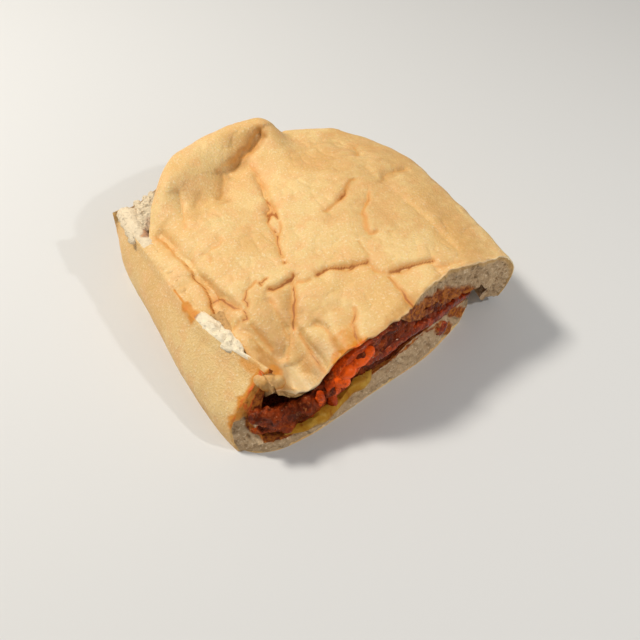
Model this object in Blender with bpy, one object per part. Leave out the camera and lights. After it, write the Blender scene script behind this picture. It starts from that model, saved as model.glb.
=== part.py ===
"""Half of a soft bread roll filled with meat, melted cheese and tomato sauce, lying on its flat base.

Sizes are in millimetres and become metres as each mesh is placed. X runs across the cut, Y from the cut to
the rounded end of the roll, and Z up. The origin is under the middle of the sandwich, on the face that it
rests on. A pair named for an axis, such as FAR_SIDE_Y, says where along that axis an effect starts and where
it is full.
"""

import bmesh
import bpy
import numpy as np
from mathutils import Matrix

MM = 0.001
GAP = 0.4
MIDDLE_Y = -2.2

# Outline of the roll, seen from above: a round end, given as (angle, radius), behind straight sides
END_CENTRE = np.array([1.0, 8.0])
END_RADIUS = [(0.0, 65.4), (20.0, 63.6), (50.0, 59.6), (75.0, 59.4), (95.0, 60.4), (120.0, 59.6),
              (136.0, 57.4), (180.0, 90.0)]
RIGHT_X = END_CENTRE[0] + END_RADIUS[0][1]
RIGHT_CORNER = np.radians(45.0)
LEFT_CORNER = np.radians(135.0)
CUT_LINE = [(-50.0, -69.5), (-44.0, -66.0), (-36.0, -67.5), (-20.0, -69.5), (-8.0, -69.0), (0.0, -67.5),
            (12.0, -63.5), (24.0, -59.0), (32.0, -57.3), (52.0, -57.4), (66.0, -55.5)]

# Top bread: height of the crust across the roll, at the middle of its length and at the cut
CRUST_HEIGHT = [(-60.0, 29.4), (-54.0, 31.4), (-48.0, 32.8), (-42.0, 34.0), (-20.0, 35.0), (-5.0, 36.2),
                (10.0, 37.3), (25.0, 38.4), (35.0, 38.4), (42.0, 37.8), (50.0, 36.2), (58.0, 34.0),
                (66.0, 30.4)]
CUT_HEIGHT = [(-46.0, 25.6), (-42.0, 23.6), (-36.0, 20.8), (-31.5, 20.0), (-28.0, 25.0), (-20.0, 32.0),
              (-10.0, 35.0), (0.0, 36.0), (12.0, 36.6), (25.0, 38.4), (35.0, 38.2), (42.0, 37.2), (50.0, 35.4),
              (58.0, 33.2), (66.0, 29.4)]
DROOP_START_Y = -30.0
FAR_SIDE_Y = (12.0, 40.0)
FAR_LEFT_X = (22.0, 7.0)
FAR_RIM_RISE = 7.0
FAR_RIM_INSET = (24.0, 14.0)
FAR_RIGHT_FALL = 5.0
FAR_RIGHT_Y = (12.0, 46.0)
FAR_RIGHT_X = (6.0, 24.0)
SINK_DEPTH = 2.5
SINK_CENTRE = (-10.0, 28.0)
SINK_RADII = (26.0, 14.0)

# Top bread: its left edge, as (x, y), and how its edges turn down
TOP_LEFT_EDGE = [(-45.0, -65.5), (-45.6, -56.0), (-47.2, -46.0), (-50.6, -31.0), (-54.8, -20.0),
                 (-57.4, -8.0), (-57.8, 4.0), (-57.2, 15.0), (-54.6, 25.0), (-49.0, 35.6)]
RIGHT_EDGE_Y = (-30.0, -10.0)
LEFT_SHARE = 0.09
LEFT_ANGLE = np.radians(78.0)
LEFT_INSET = 2.5
LEFT_FAR_INSET = 9.0
LEFT_FAR_PLACE = (0.72, 0.97)
FLANK_SHARE = 0.24
FLANK_INSET = 9.0
END_SHARE = 0.27
END_INSET = 17.0
SKIRT_ANGLE = np.radians(118.0)
EQUATOR_SHARE = 0.35
LEAST_EDGE = 2.4
LEAN = 0.22
LEAN_BELOW = 24.0
LEAN_X = (50.0, 58.0)
LEAN_Y = (-30.0, -50.0)

# Top bread: thickness under the crust, at the middle, at the cut and at the flanks
CRUST_THICKNESS = 5.5
CUT_THICKNESS = [(-46.0, 2.6), (-10.0, 2.6), (8.0, 3.0), (16.0, 5.0), (30.0, 10.0), (50.0, 12.0)]
CUT_THICKNESS_Y = (-38.0, -64.0)
FLANK_THICKNESS = 11.0
FLANK_THICKNESS_INSET = (28.0, 12.0)
LEFT_TAPER = 9.0

# The slit between the two breads, round the outline
SEAM_LEFT = 27.6
SEAM_END = 9.0
SEAM_CUT_RIGHT = 3.6
SEAM_TURN = np.radians((98.0, 134.0))
SEAM_TORN_Y = (-24.0, -46.0)
SEAM_TORN_X = (20.0, 40.0)

# Bottom bread: a shallow tray with a tall wall on the left, whose edges are given as (y, x)
BASE_LEFT_X = [(-75.0, -56.0), (-66.5, -59.5), (-58.0, -61.6), (-48.0, -62.8), (-38.0, -63.5), (10.0, -63.8),
               (22.0, -64.0), (33.0, -63.4), (43.0, -61.0)]
RIM_LEFT_X = [(-66.0, -46.0), (-60.0, -47.0), (-53.0, -48.4), (-43.0, -52.0), (-34.0, -54.9), (-22.0, -57.2),
              (-8.0, -58.1), (14.0, -59.6), (24.0, -61.0), (32.0, -61.6), (43.0, -61.0)]
BASE_CUT = [(-58.0, -66.5), (-55.0, -69.5), (-50.0, -71.8), (-36.0, -72.6), (-20.0, -70.0), (-5.0, -66.8),
            (5.0, -65.0), (25.0, -60.6), (35.0, -56.6), (48.0, -51.0)]
BASE_FAR_LEFT = [(-61.0, 43.0), (-52.0, 45.4), (-43.0, 50.2)]
BASE_FAR_ANGLES = np.radians((120.0, 105.0, 90.0, 75.0, 60.0, 45.0))
BASE_RIGHT = [(48.0, -51.0), (49.5, -42.0), (56.0, -28.0), (60.5, -14.0), (62.0, 8.0)]
BASE_INSET = 2.5
CUT_START_Y = -66.5
BED_START_Y = -71.6
BED_INSET = 1.5
BED_HEIGHT = [(-50.0, 6.6), (-38.0, 5.2), (-25.0, 5.8), (-12.0, 8.8), (-3.0, 9.8), (4.0, 9.0), (13.0, 12.0),
              (20.0, 13.4), (30.0, 13.0), (40.0, 11.6), (50.0, 9.5)]
BED_SLOPE = 0.45
BED_BELOW_SEAM = 1.0
WALL_SHARE = 0.24
WALL_WIDTH = 9.0
WALL_TIP_Y = -60.0
WALL_SLANT_LENGTH = 30.0
WALL_BULGE = 2.4
WALL_FAR_BULGE = 2.2
WALL_FAR_Y = (-10.0, 20.0)
WALL_END_X = -25.0
FAR_WALL_DROP = 1.4
RIM_WIDTH = [(-64.0, 1.4), (-56.0, 1.6), (-46.0, 3.0), (-38.0, 5.0), (-28.0, 6.5)]
RIM_FOOT = 3.0
RIM_SHARE = 0.14
RIM_TURN = 0.05
RIM_ANGLE = np.radians(96.0)
RIM_ABOVE_SEAM = 8.0
RIM_RISE_PLACE = (0.9, 1.0)

# Filling
BED_CLEARANCE = 1.0
FILLING_LEFT_X = -48.0
FILLING_RIGHT_X = 48.0
FILLING_RECESS = 1.6
FILLING_END_INSET = 17.0
FILLING_BORDER = 0.16
FILLING_EDGE_SHARE = 0.25
HOLLOW_HEIGHT = 15.0
HOLLOW_X = (-28.0, -34.0)
HOLLOW_Y = (-50.0, -62.0)
UNDER_CRUST = 1.2
CHEESE_THICKNESS = 1.6
CHEESE_LEFT_X = -44.0
CHEESE_RIGHT_X = 30.0
CHEESE_END_INSET = 19.0
CHEESE_RECESS = 0.6
CHEESE_WAVE = 0.7
CHEESE_WAVES = (31.0, 17.0)
SAUCE_THICKNESS = 1.8
SAUCE_LEFT_X = -27.0
SAUCE_RIGHT_X = 36.0
SAUCE_END_INSET = 23.0
SAUCE_RECESS = 1.0
SAUCE_BORDER = 0.15
SAUCE_EDGE_SHARE = 0.4
LUMP_DEPTH = 5.0
LUMP_CENTRE = (-20.0, -70.0)
LUMP_RADII = (8.0, 9.0)

# Creases of the crust: points on the line, depth, half width and how much the side on its left stands up
CREASES = [
    ([(-53.5, 22.0), (-51.0, 9.0), (-48.8, -5.0), (-48.0, -20.0), (-49.8, -35.0)], 4.0, 2.4, -0.8),
    ([(-48.0, -8.0), (-45.2, -19.0), (-42.6, -31.5), (-40.8, -36.0)], 1.6, 2.2, 0.5),
    ([(-38.0, 32.0), (-40.5, 21.0), (-43.0, 13.5)], 2.0, 2.4, 0.4),
    ([(7.0, 50.0), (-6.0, 43.5), (-16.0, 39.5)], 3.0, 3.0, -1.2),
    ([(-16.0, 39.0), (-21.0, 29.0), (-24.5, 24.0)], 1.4, 3.4, -0.4),
    ([(-3.0, 42.0), (-4.2, 29.0), (-6.4, 16.0), (-9.2, 6.0)], 3.2, 2.4, 0.9),
    ([(-9.2, 8.0), (-13.3, 2.3), (-14.0, -8.0), (-17.3, -20.0)], 2.8, 2.2, 0.8),
    ([(-18.0, -28.3), (-24.5, -32.0), (-30.0, -30.0)], 1.8, 2.2, -1.0),
    ([(-30.0, -26.0), (-36.0, -27.6), (-39.6, -35.5)], 1.4, 2.2, 0.4),
    ([(-18.5, -32.7), (-8.0, -33.0), (0.5, -36.3), (9.0, -37.0)], 2.2, 2.2, 0.8),
    ([(8.0, -38.0), (10.5, -46.0), (20.0, -47.2), (29.5, -49.7)], 2.4, 2.4, 0.8),
    ([(10.5, -46.0), (10.7, -54.0), (11.5, -66.0)], 2.4, 2.2, 0.5),
    ([(29.0, -3.5), (22.0, -11.0), (18.8, -17.0), (16.9, -25.2)], 1.8, 2.2, 0.6),
    ([(6.0, -5.8), (17.0, -2.0), (23.0, 4.0), (28.0, 5.0)], 1.6, 2.2, 0.6),
    ([(36.0, 19.0), (41.0, 28.0)], 1.8, 2.6, 0.4),
    ([(34.8, -0.5), (39.5, 3.0), (53.0, 5.3)], 2.0, 2.4, 0.4),
    ([(38.0, -6.0), (39.6, -32.0), (40.0, -50.0)], 1.0, 2.6, 0.3),
    ([(-45.0, -38.5), (-40.0, -49.0), (-35.8, -56.0), (-37.0, -66.0)], 1.8, 2.2, -0.4),
    ([(-29.8, -34.0), (-30.2, -46.0), (-34.6, -55.8)], 1.6, 2.2, 0.6),
    ([(-19.5, -32.0), (-24.0, -40.0), (-28.6, -48.8)], 2.0, 2.2, 0.8),
    ([(-27.5, -49.0), (-26.3, -59.0), (-26.0, -70.0)], 1.6, 2.2, 0.5),
    ([(-6.8, -52.5), (-12.3, -62.0), (-14.0, -69.0)], 1.8, 2.2, 0.6),
]
CREASE_FADE = 0.15
CREASE_LEAST = 0.35

# Colours and roughness
CRUST_FINISH = (0.72, 0.43, 0.17), 0.6
CRUMB_FINISH = (0.78, 0.62, 0.38), 0.9
MEAT_FINISH = (0.20, 0.025, 0.008), 0.35
CHEESE_FINISH = (0.75, 0.42, 0.07), 0.4
SAUCE_FINISH = (0.55, 0.05, 0.01), 0.2


def ramp(value, start, end):
    """0 at the start and 1 at the end, level at both."""
    t = np.clip((value - start) / (end - start), 0.0, 1.0)
    return t * t * (3.0 - 2.0 * t)


def through(points, x):
    """A smooth curve through the points (x, value), level past its ends."""
    at, value = np.array(points, float).T
    slope = np.gradient(value, at)
    x = np.clip(x, at[0], at[-1])
    i = np.clip(np.searchsorted(at, x) - 1, 0, len(at) - 2)
    step = at[i + 1] - at[i]
    t = (x - at[i]) / step
    rise = t * t * (3.0 - 2.0 * t)
    ends = step * t * (1.0 - t) * ((1.0 - t) * slope[i] - t * slope[i + 1])
    return value[i] * (1.0 - rise) + value[i + 1] * rise + ends


def along(points, t):
    """A point of the smooth line through the points, for t from 0 to 1 by length."""
    points = np.array(points, float)
    lengths = np.concatenate([[0.0], np.cumsum(np.linalg.norm(np.diff(points, axis=0), axis=1))])
    lengths /= lengths[-1]
    return np.stack([through(np.stack([lengths, points[:, k]], 1), t) for k in (0, 1)], -1)


def outline_radius(angle):
    return through(END_RADIUS, np.degrees(angle))


def end_point(angle, inset):
    """A point of the round end, an inset inside its outline."""
    radius = outline_radius(angle) - inset
    return np.stack([END_CENTRE[0] + radius * np.cos(angle), END_CENTRE[1] + radius * np.sin(angle)], -1)


def corner_point(angle, inset):
    return tuple(end_point(np.array([angle]), inset)[0])


def right_corner_points(angles, inset):
    return [corner_point(angle, inset) for angle in np.radians(angles)]


def edge_inset(x, y):
    """How far a point lies inside the right and far outline."""
    back = np.maximum(y - END_CENTRE[1], 0.0)
    angle = np.arctan2(back, x - END_CENTRE[0])
    return outline_radius(angle) - np.hypot(x - END_CENTRE[0], back)


def patch(front, far, left, right, u, v):
    """A point inside four boundary curves that meet at their corners."""
    sides = (1 - v)[:, None] * front(u) + v[:, None] * far(u)
    sides += (1 - u)[:, None] * left(v) + u[:, None] * right(v)
    zero, one = np.zeros(1), np.ones(1)
    corners = ((1 - u) * (1 - v))[:, None] * front(zero) + (u * (1 - v))[:, None] * front(one)
    corners += ((1 - u) * v)[:, None] * far(zero) + (u * v)[:, None] * far(one)
    return sides - corners


def line_distance(points, x, y):
    """Distance to a line through the points, positive on its left, and the place along it from 0 to 1."""
    points = np.array(points, float)
    steps = np.diff(points, axis=0)
    lengths = np.linalg.norm(steps, axis=1)
    nearest = np.full(x.shape, np.inf)
    signed = np.zeros(x.shape)
    place = np.zeros(x.shape)
    for start, step, length, before in zip(points, steps, lengths, np.cumsum(lengths) - lengths):
        t = np.clip(((x - start[0]) * step[0] + (y - start[1]) * step[1]) / length**2, 0.0, 1.0)
        dx, dy = x - start[0] - t * step[0], y - start[1] - t * step[1]
        distance = np.hypot(dx, dy)
        closer = distance < nearest
        nearest = np.where(closer, distance, nearest)
        signed = np.where(closer, np.copysign(distance, step[0] * dy - step[1] * dx), signed)
        place = np.where(closer, (before + t * length) / lengths.sum(), place)
    return signed, place


def normals(surface, s, t):
    """Unit normals of a surface that is given by a function of s and t."""
    step = 0.004
    across = surface(np.minimum(s + step, 1.0), t) - surface(np.maximum(s - step, 0.0), t)
    lengthways = surface(s, np.minimum(t + step, 1.0)) - surface(s, np.maximum(t - step, 0.0))
    normal = np.cross(across, lengthways)
    return normal / np.maximum(np.linalg.norm(normal, axis=1), 1e-9)[:, None]


def crease_depth(x, y):
    """How far the creases move the crust along its normal."""
    total = np.zeros(x.shape)
    for points, depth, width, lift in CREASES:
        distance, place = line_distance(points, x, y)
        fade = ramp(np.minimum(place, 1.0 - place) / CREASE_FADE + CREASE_LEAST, 0.0, 1.0)
        groove = depth * np.exp(-(np.abs(distance) / width) ** 1.4)
        side = lift * np.tanh(distance / width) * np.exp(-np.abs(distance) / (3.0 * width))
        total += fade * (side - groove)
    return total


def mound(x, y, centre, radii):
    """A soft bump, 1 at its centre."""
    return np.exp(-(((x - centre[0]) / radii[0]) ** 2) - ((y - centre[1]) / radii[1]) ** 2)


def crust_height(x, y):
    """Height of the top crust before its edges turn down."""
    middle = through(CRUST_HEIGHT, x)
    at_cut = through(CUT_HEIGHT, x)
    droop = ramp(y, DROOP_START_Y, through(CUT_LINE, x))
    rim = FAR_RIM_RISE * ramp(edge_inset(x, y), *FAR_RIM_INSET) * ramp(y, *FAR_SIDE_Y) * ramp(x, *FAR_LEFT_X)
    fall = FAR_RIGHT_FALL * ramp(y, *FAR_RIGHT_Y) * ramp(x, *FAR_RIGHT_X)
    return middle + (at_cut - middle) * droop + rim - fall - SINK_DEPTH * mound(x, y, SINK_CENTRE, SINK_RADII)


def seam_height(x, y):
    """Height of the slit between the two breads."""
    back = np.maximum(y - END_CENTRE[1], 0.0)
    angle = np.arctan2(back, x - END_CENTRE[0])
    torn = ramp(y, *SEAM_TORN_Y) * ramp(x, *SEAM_TORN_X)
    return SEAM_END + (SEAM_LEFT - SEAM_END) * ramp(angle, *SEAM_TURN) + (SEAM_CUT_RIGHT - SEAM_END) * torn


def bed_height(x, y):
    """Height of the crumb that the filling lies on."""
    rim = seam_height(x, y) + BED_SLOPE * edge_inset(x, y) - BED_BELOW_SEAM
    return np.minimum(through(BED_HEIGHT, x), rim)


def top_left_x(y):
    """X of the left edge of the top bread at a place along the roll."""
    return through([(edge_y, edge_x) for edge_x, edge_y in TOP_LEFT_EDGE], y)


def turned_edge(s, share, inset):
    """Place across a patch whose last share turns down, and the angle that it has turned."""
    angle = np.clip((s - (1.0 - share)) / share, 0.0, 1.0) * SKIRT_ANGLE
    level = np.clip(s / (1.0 - share), 0.0, 1.0) * (1.0 - inset)
    return np.where(s < 1.0 - share, level, 1.0 - inset * (1.0 - np.sin(angle))), angle


def top_plan(u, v):
    """Plan of the top bread, for u across it and v from the cut to the far end."""

    def front(w):
        x = TOP_LEFT_EDGE[0][0] + (RIGHT_X - TOP_LEFT_EDGE[0][0]) * w
        return np.stack([x, through(CUT_LINE, x)], -1)

    def far(w):
        return end_point(LEFT_CORNER + (RIGHT_CORNER - LEFT_CORNER) * w, 0.0)

    left = [front(np.zeros(1))[0], *TOP_LEFT_EDGE[1:], corner_point(LEFT_CORNER, 0.0)]
    right = [front(np.ones(1))[0], *((RIGHT_X, y) for y in RIGHT_EDGE_Y)]
    right += right_corner_points((0.0, 15.0, 30.0, 45.0), 0.0)
    return patch(front, far, lambda w: along(left, w), lambda w: along(right, w), u, v)


def top_surface(s, t):
    """Outer face of the top bread, for s across it and t from the cut to the far end, each from 0 to 1."""
    width = RIGHT_X - TOP_LEFT_EDGE[0][0]
    v, far_angle = turned_edge(t, END_SHARE, END_INSET / width)
    flank = FLANK_INSET + (END_INSET - FLANK_INSET) * ramp(v, 0.5, 1.0)
    u, flank_angle = turned_edge(s, FLANK_SHARE, flank / width)
    left_inset = (LEFT_INSET + LEFT_FAR_INSET * ramp(v, *LEFT_FAR_PLACE)) / width
    left_angle = np.clip(1.0 - s / LEFT_SHARE, 0.0, 1.0) * LEFT_ANGLE
    u = u * (1.0 - left_inset) + left_inset * (1.0 - np.sin(left_angle) / np.sin(LEFT_ANGLE))
    x, y = top_plan(u, v).T
    crown = crust_height(x, y)
    seam = np.minimum(seam_height(x, y) + GAP, crown - LEAST_EDGE)
    height = seam + (crown - seam) * np.cos(left_angle)
    equator = seam + EQUATOR_SHARE * (height - seam)
    up = np.maximum(np.cos(far_angle), 0.0) * np.maximum(np.cos(flank_angle), 0.0)
    down = np.maximum(np.maximum(-np.cos(far_angle), -np.cos(flank_angle)), 0.0) / -np.cos(SKIRT_ANGLE)
    z = equator + (height - equator) * up - (equator - seam) * down
    lean = LEAN * np.clip(LEAN_BELOW - z, 0.0, LEAN_BELOW) * ramp(x, *LEAN_X) * ramp(y, *LEAN_Y)
    return np.stack([x, y + lean, z], -1)


def top_normals(s, t):
    """Unit normals of the top bread, turned outwards where its far right corner folds over itself."""
    normal = normals(top_surface, s, t)
    away = (normal[:, :2] * (top_surface(s, t)[:, :2] - np.array(END_CENTRE))).sum(1)
    folded = (away < -30.0) & (s > 0.9) & (t > 0.9)
    return np.where(folded[:, None], -normal, normal)


def top_thickness(x, y):
    body = CRUST_THICKNESS + (through(CUT_THICKNESS, x) - CRUST_THICKNESS) * ramp(y, *CUT_THICKNESS_Y)
    body = body + (FLANK_THICKNESS - body) * ramp(edge_inset(x, y), *FLANK_THICKNESS_INSET)
    return body * (0.5 + 0.5 * ramp(x - top_left_x(y), 0.0, LEFT_TAPER))


def top_outer(s, t):
    place = top_surface(s, t)
    return place + crease_depth(place[:, 0], place[:, 1])[:, None] * top_normals(s, t)


def top_inner(s, t):
    """Crumb side of the top bread, which stays above the bottom bread."""
    place = top_surface(s, t)
    thickness = top_thickness(place[:, 0], place[:, 1])
    place = place - thickness[:, None] * top_normals(s, t)
    x, y = place[:, 0], place[:, 1]
    place[:, 2] = np.maximum(place[:, 2], lined_height(x, y) + GAP)
    return place


def rim_inner_x(y):
    return through(RIM_LEFT_X, y) + through(RIM_WIDTH, y)


def bed_left_x(y):
    return through(BASE_LEFT_X, y) + WALL_WIDTH


def lined_height(x, y):
    """Height of the crumb side of the bottom bread, with the top of its wall."""
    bed = bed_height(x, y)
    climb = np.exp(-((np.maximum(x - rim_inner_x(y), 0.0) / RIM_FOOT) ** 1.5))
    return bed + np.maximum(seam_height(x, y) - bed, 0.0) * climb


def tray_plan(u, v, left_x, start_y, inset):
    """Plan of a face of the tray, for u across it and v from the cut to the far end."""
    far = [(x, y - inset) for x, y in BASE_FAR_LEFT]
    far[0] = (left_x(np.array(far[0][1])), far[0][1])
    far += [corner_point(angle, BASE_INSET + inset) for angle in BASE_FAR_ANGLES]
    right = [(x - inset, y) for x, y in BASE_RIGHT]
    right += right_corner_points((15.0, 30.0, 45.0), BASE_INSET + inset)

    def left(w):
        y = start_y + (far[0][1] - start_y) * w
        return np.stack([left_x(y), y], -1)

    def front(w):
        start = left(np.zeros(1))[0]
        x = start[0] + (right[0][0] - start[0]) * w
        return np.stack([x, through(BASE_CUT, x)], -1)

    return patch(front, lambda w: along(far, w), left, lambda w: along(right, w), u, v)


def base_edge(s):
    """Place across the tray whose last share turns up, and how far it has risen, from 0 to 1."""
    angle = np.clip((s - (1.0 - RIM_SHARE)) / RIM_SHARE, 0.0, 1.0) * RIM_ANGLE
    level = np.clip(s / (1.0 - RIM_SHARE), 0.0, 1.0) * (1.0 - RIM_TURN)
    place = np.where(s < 1.0 - RIM_SHARE, level, 1.0 - RIM_TURN * (1.0 - np.sin(angle)))
    return place, (1.0 - np.cos(angle)) / (1.0 - np.cos(RIM_ANGLE))


def slant(y, start_y, wall):
    """The wall's cut leans back from the base to its tip."""
    return y + (WALL_TIP_Y - start_y) * wall**0.8 * ramp(y, start_y + WALL_SLANT_LENGTH, start_y)


def bottom_outer(s, t):
    """Base, left wall and low far and right rims of the bottom bread."""
    wall = np.clip(1.0 - s / WALL_SHARE, 0.0, 1.0)
    u, right_rise = base_edge(np.clip((s - WALL_SHARE) / (1.0 - WALL_SHARE), 0.0, 1.0))
    v, far_rise = base_edge(t)
    x, y = tray_plan(u, v, lambda y: through(BASE_LEFT_X, y), CUT_START_Y, 0.0).T
    y = slant(y, CUT_START_Y, wall)
    seam = seam_height(x, y)
    tall_rim = seam - FAR_WALL_DROP * (1.0 - wall) ** 2
    rim = np.where(x < WALL_END_X, tall_rim, np.minimum(bed_height(x, y), seam + RIM_ABOVE_SEAM))
    z = rim * (1.0 - (1.0 - wall) * (1.0 - right_rise) * (1.0 - far_rise))
    lean = (through(RIM_LEFT_X, y) - through(BASE_LEFT_X, y)) * wall**2.2
    puff = WALL_BULGE + (WALL_FAR_BULGE - WALL_BULGE) * ramp(y, *WALL_FAR_Y)
    return np.stack([x + lean - puff * np.sin(np.pi * np.minimum(wall * 1.15, 1.0)), y, z], -1)


def bottom_inner(s, t):
    """Upper, crumb side of the bottom bread."""
    wall = np.clip(1.0 - s / WALL_SHARE, 0.0, 1.0)
    u = np.clip((s - WALL_SHARE) / (1.0 - WALL_SHARE), 0.0, 1.0)
    x, y = tray_plan(u, t, bed_left_x, BED_START_Y, BED_INSET).T
    y = slant(y, BED_START_Y, wall)
    bed = bed_height(x, y)
    tall_rim = seam_height(x, y) - GAP - FAR_WALL_DROP * (1.0 - wall) ** 2
    rim = np.where(x < WALL_END_X, np.maximum(tall_rim, bed), bed)
    z = bed + (rim - bed) * (1.0 - (1.0 - wall) * (1.0 - ramp(t, *RIM_RISE_PLACE)))
    return np.stack([x + (rim_inner_x(y) - bed_left_x(y)) * wall**1.6, y, z], -1)


def layer_plan(s, t, left_x, right_x, end_inset, recess):
    """Plan of a layer of the filling, from just behind the cut to the round end."""

    def front(w):
        x = left_x + (right_x - left_x) * w
        return np.stack([x, through(BASE_CUT, x) + recess], -1)

    def far(w):
        return end_point(LEFT_CORNER + (RIGHT_CORNER - LEFT_CORNER) * w, end_inset)

    left = [front(np.zeros(1))[0], (left_x, -30.0), (left_x, 10.0), corner_point(LEFT_CORNER, end_inset)]
    right = [front(np.ones(1))[0], (right_x, -20.0), (right_x + 1.0, 4.0)]
    right += right_corner_points((15.0, 30.0, 45.0), end_inset)
    return patch(front, far, lambda w: along(left, w), lambda w: along(right, w), s, t)


def under_crust(x, y):
    """Highest that the filling may reach under the top bread."""
    return crust_height(x, y) - top_thickness(x, y) - UNDER_CRUST


def border(s, t, width):
    """0 on the left, right and far border of a layer, and 1 inside it."""
    return ramp(s, 0.0, width) * ramp(s, 1.0, 1.0 - width) * ramp(t, 1.0, 1.0 - width)


def sauce_depth(x, y):
    return SAUCE_THICKNESS + LUMP_DEPTH * mound(x, y, LUMP_CENTRE, LUMP_RADII)


def meat_plan(s, t):
    return layer_plan(s, t, FILLING_LEFT_X, FILLING_RIGHT_X, FILLING_END_INSET, FILLING_RECESS).T


def meat_base(x, y):
    return bed_height(x, y) + BED_CLEARANCE + CHEESE_THICKNESS + 1.5 * GAP


def meat_upper(s, t):
    x, y = meat_plan(s, t)
    low = meat_base(x, y)
    high = under_crust(x, y) - sauce_depth(x, y) - 2.0 * GAP
    high = high + (HOLLOW_HEIGHT - high) * ramp(x, *HOLLOW_X) * ramp(y, *HOLLOW_Y)
    edge = FILLING_EDGE_SHARE + (1.0 - FILLING_EDGE_SHARE) * border(s, t, FILLING_BORDER)
    return np.stack([x, y, low + (np.maximum(high, low + 2.0) - low) * edge], -1)


def meat_lower(s, t):
    x, y = meat_plan(s, t)
    return np.stack([x, y, meat_base(x, y)], -1)


def cheese_face(lift):
    def face(s, t):
        x, y = layer_plan(s, t, CHEESE_LEFT_X, CHEESE_RIGHT_X, CHEESE_END_INSET, CHEESE_RECESS).T
        wave = sum(CHEESE_WAVE * np.sin(s * rate + rate) for rate in CHEESE_WAVES)
        return np.stack([x, y - wave * ramp(t, 0.12, 0.0), bed_height(x, y) + BED_CLEARANCE + lift], -1)

    return face


def sauce_face(upper):
    def face(s, t):
        x, y = layer_plan(s, t, SAUCE_LEFT_X, SAUCE_RIGHT_X, SAUCE_END_INSET, SAUCE_RECESS).T
        floor = under_crust(x, y) - sauce_depth(x, y)
        edge = SAUCE_EDGE_SHARE + (1.0 - SAUCE_EDGE_SHARE) * border(s, t, SAUCE_BORDER)
        return np.stack([x, y, floor + (sauce_depth(x, y) * edge if upper else 0.0)], -1)

    return face


def finish(name, colour, roughness):
    material = bpy.data.materials.new(name)
    material.use_nodes = True
    shader = material.node_tree.nodes["Principled BSDF"]
    shader.inputs["Base Color"].default_value = (*colour, 1.0)
    shader.inputs["Roughness"].default_value = roughness
    shader.inputs["Metallic"].default_value = 0.0
    return material


def closed_between(name, outer, inner, cells, material):
    """A closed body between an outer and an inner surface, joined all round their edges.

    Both start as flat grids, one above the other, whose X and Y are the s and t of the surfaces. The inner
    grid has half the cells, so its border is divided once to match.
    """
    mesh = bmesh.new()
    bmesh.ops.create_grid(mesh, x_segments=cells[0] // 2, y_segments=cells[1] // 2, size=0.5)
    bmesh.ops.subdivide_edges(mesh, edges=[edge for edge in mesh.edges if edge.is_boundary], cuts=1)
    above = Matrix.Translation((0.0, 0.0, 1.0))
    bmesh.ops.create_grid(mesh, x_segments=cells[0], y_segments=cells[1], size=0.5, matrix=above)
    bmesh.ops.bridge_loops(mesh, edges=[edge for edge in mesh.edges if edge.is_boundary])
    bmesh.ops.recalc_face_normals(mesh, faces=mesh.faces)
    s, t, side = np.array([vert.co for vert in mesh.verts]).T
    s, t, side = s + 0.5, t + 0.5, side[:, None]
    places = outer(s, t) * side + inner(s, t) * (1.0 - side) - np.array([0.0, MIDDLE_Y, 0.0])
    for vert, place in zip(mesh.verts, places * MM):
        vert.co = place
    if mesh.calc_volume(signed=True) < 0.0:
        bmesh.ops.reverse_faces(mesh, faces=mesh.faces)
    bmesh.ops.triangulate(mesh, faces=mesh.faces)
    data = bpy.data.meshes.new(name)
    mesh.to_mesh(data)
    mesh.free()
    data.materials.append(material)
    data.shade_smooth()
    part = bpy.data.objects.new(name, data)
    sandwich.objects.link(part)
    return part


for old in list(bpy.data.objects):
    bpy.data.objects.remove(old, do_unlink=True)
sandwich = bpy.data.collections.new("pizza_sandwich")
bpy.context.scene.collection.children.link(sandwich)

closed_between("top_bread", top_outer, top_inner, (54, 52), finish("crust", *CRUST_FINISH))
closed_between("bottom_bread", bottom_outer, bottom_inner, (28, 24), finish("crumb", *CRUMB_FINISH))
closed_between("meat_filling", meat_upper, meat_lower, (24, 22), finish("meat", *MEAT_FINISH))
cheese = cheese_face(CHEESE_THICKNESS), cheese_face(0.0)
closed_between("melted_cheese", *cheese, (20, 14), finish("cheese", *CHEESE_FINISH))
closed_between("tomato_sauce", sauce_face(True), sauce_face(False), (20, 16), finish("sauce", *SAUCE_FINISH))
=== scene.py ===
"""Looks of a half pizza sandwich: a soft roll filled with meat, melted cheese and tomato sauce, cut across.

Each layer is a closed body between two surfaces, which are functions of s across the roll and t from the cut
to its rounded end. They are the surfaces of the solid model, with the folds, crumb, lumps and drips that show
added. Sizes are in millimetres and become metres as each mesh is placed. X runs across the cut, Y away from
it, Z up. A pair named for an axis, such as FAR_SIDE_Y, says where along that axis an effect starts and where
it is full.
"""

import itertools
import math

import bmesh
import bpy
import numpy as np
from mathutils import Matrix, Vector


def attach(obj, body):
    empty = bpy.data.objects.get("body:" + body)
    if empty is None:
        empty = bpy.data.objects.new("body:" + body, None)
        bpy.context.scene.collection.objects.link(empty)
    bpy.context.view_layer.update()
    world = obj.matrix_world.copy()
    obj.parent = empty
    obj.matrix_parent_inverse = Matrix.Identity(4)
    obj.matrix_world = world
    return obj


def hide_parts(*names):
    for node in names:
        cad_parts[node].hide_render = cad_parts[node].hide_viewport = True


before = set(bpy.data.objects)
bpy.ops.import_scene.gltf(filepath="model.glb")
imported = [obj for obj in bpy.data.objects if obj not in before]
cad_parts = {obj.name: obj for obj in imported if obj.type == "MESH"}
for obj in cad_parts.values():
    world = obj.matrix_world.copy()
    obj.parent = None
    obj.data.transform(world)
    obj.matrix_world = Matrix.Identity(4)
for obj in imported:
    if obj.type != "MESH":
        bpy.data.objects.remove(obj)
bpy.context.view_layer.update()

# A millimetre in metres, the gap between neighbouring pieces, and the drawing's place of the frame's origin
MM = 0.001
GAP = 0.4
MIDDLE = np.array([0.0, -2.2, 0.0])

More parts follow.
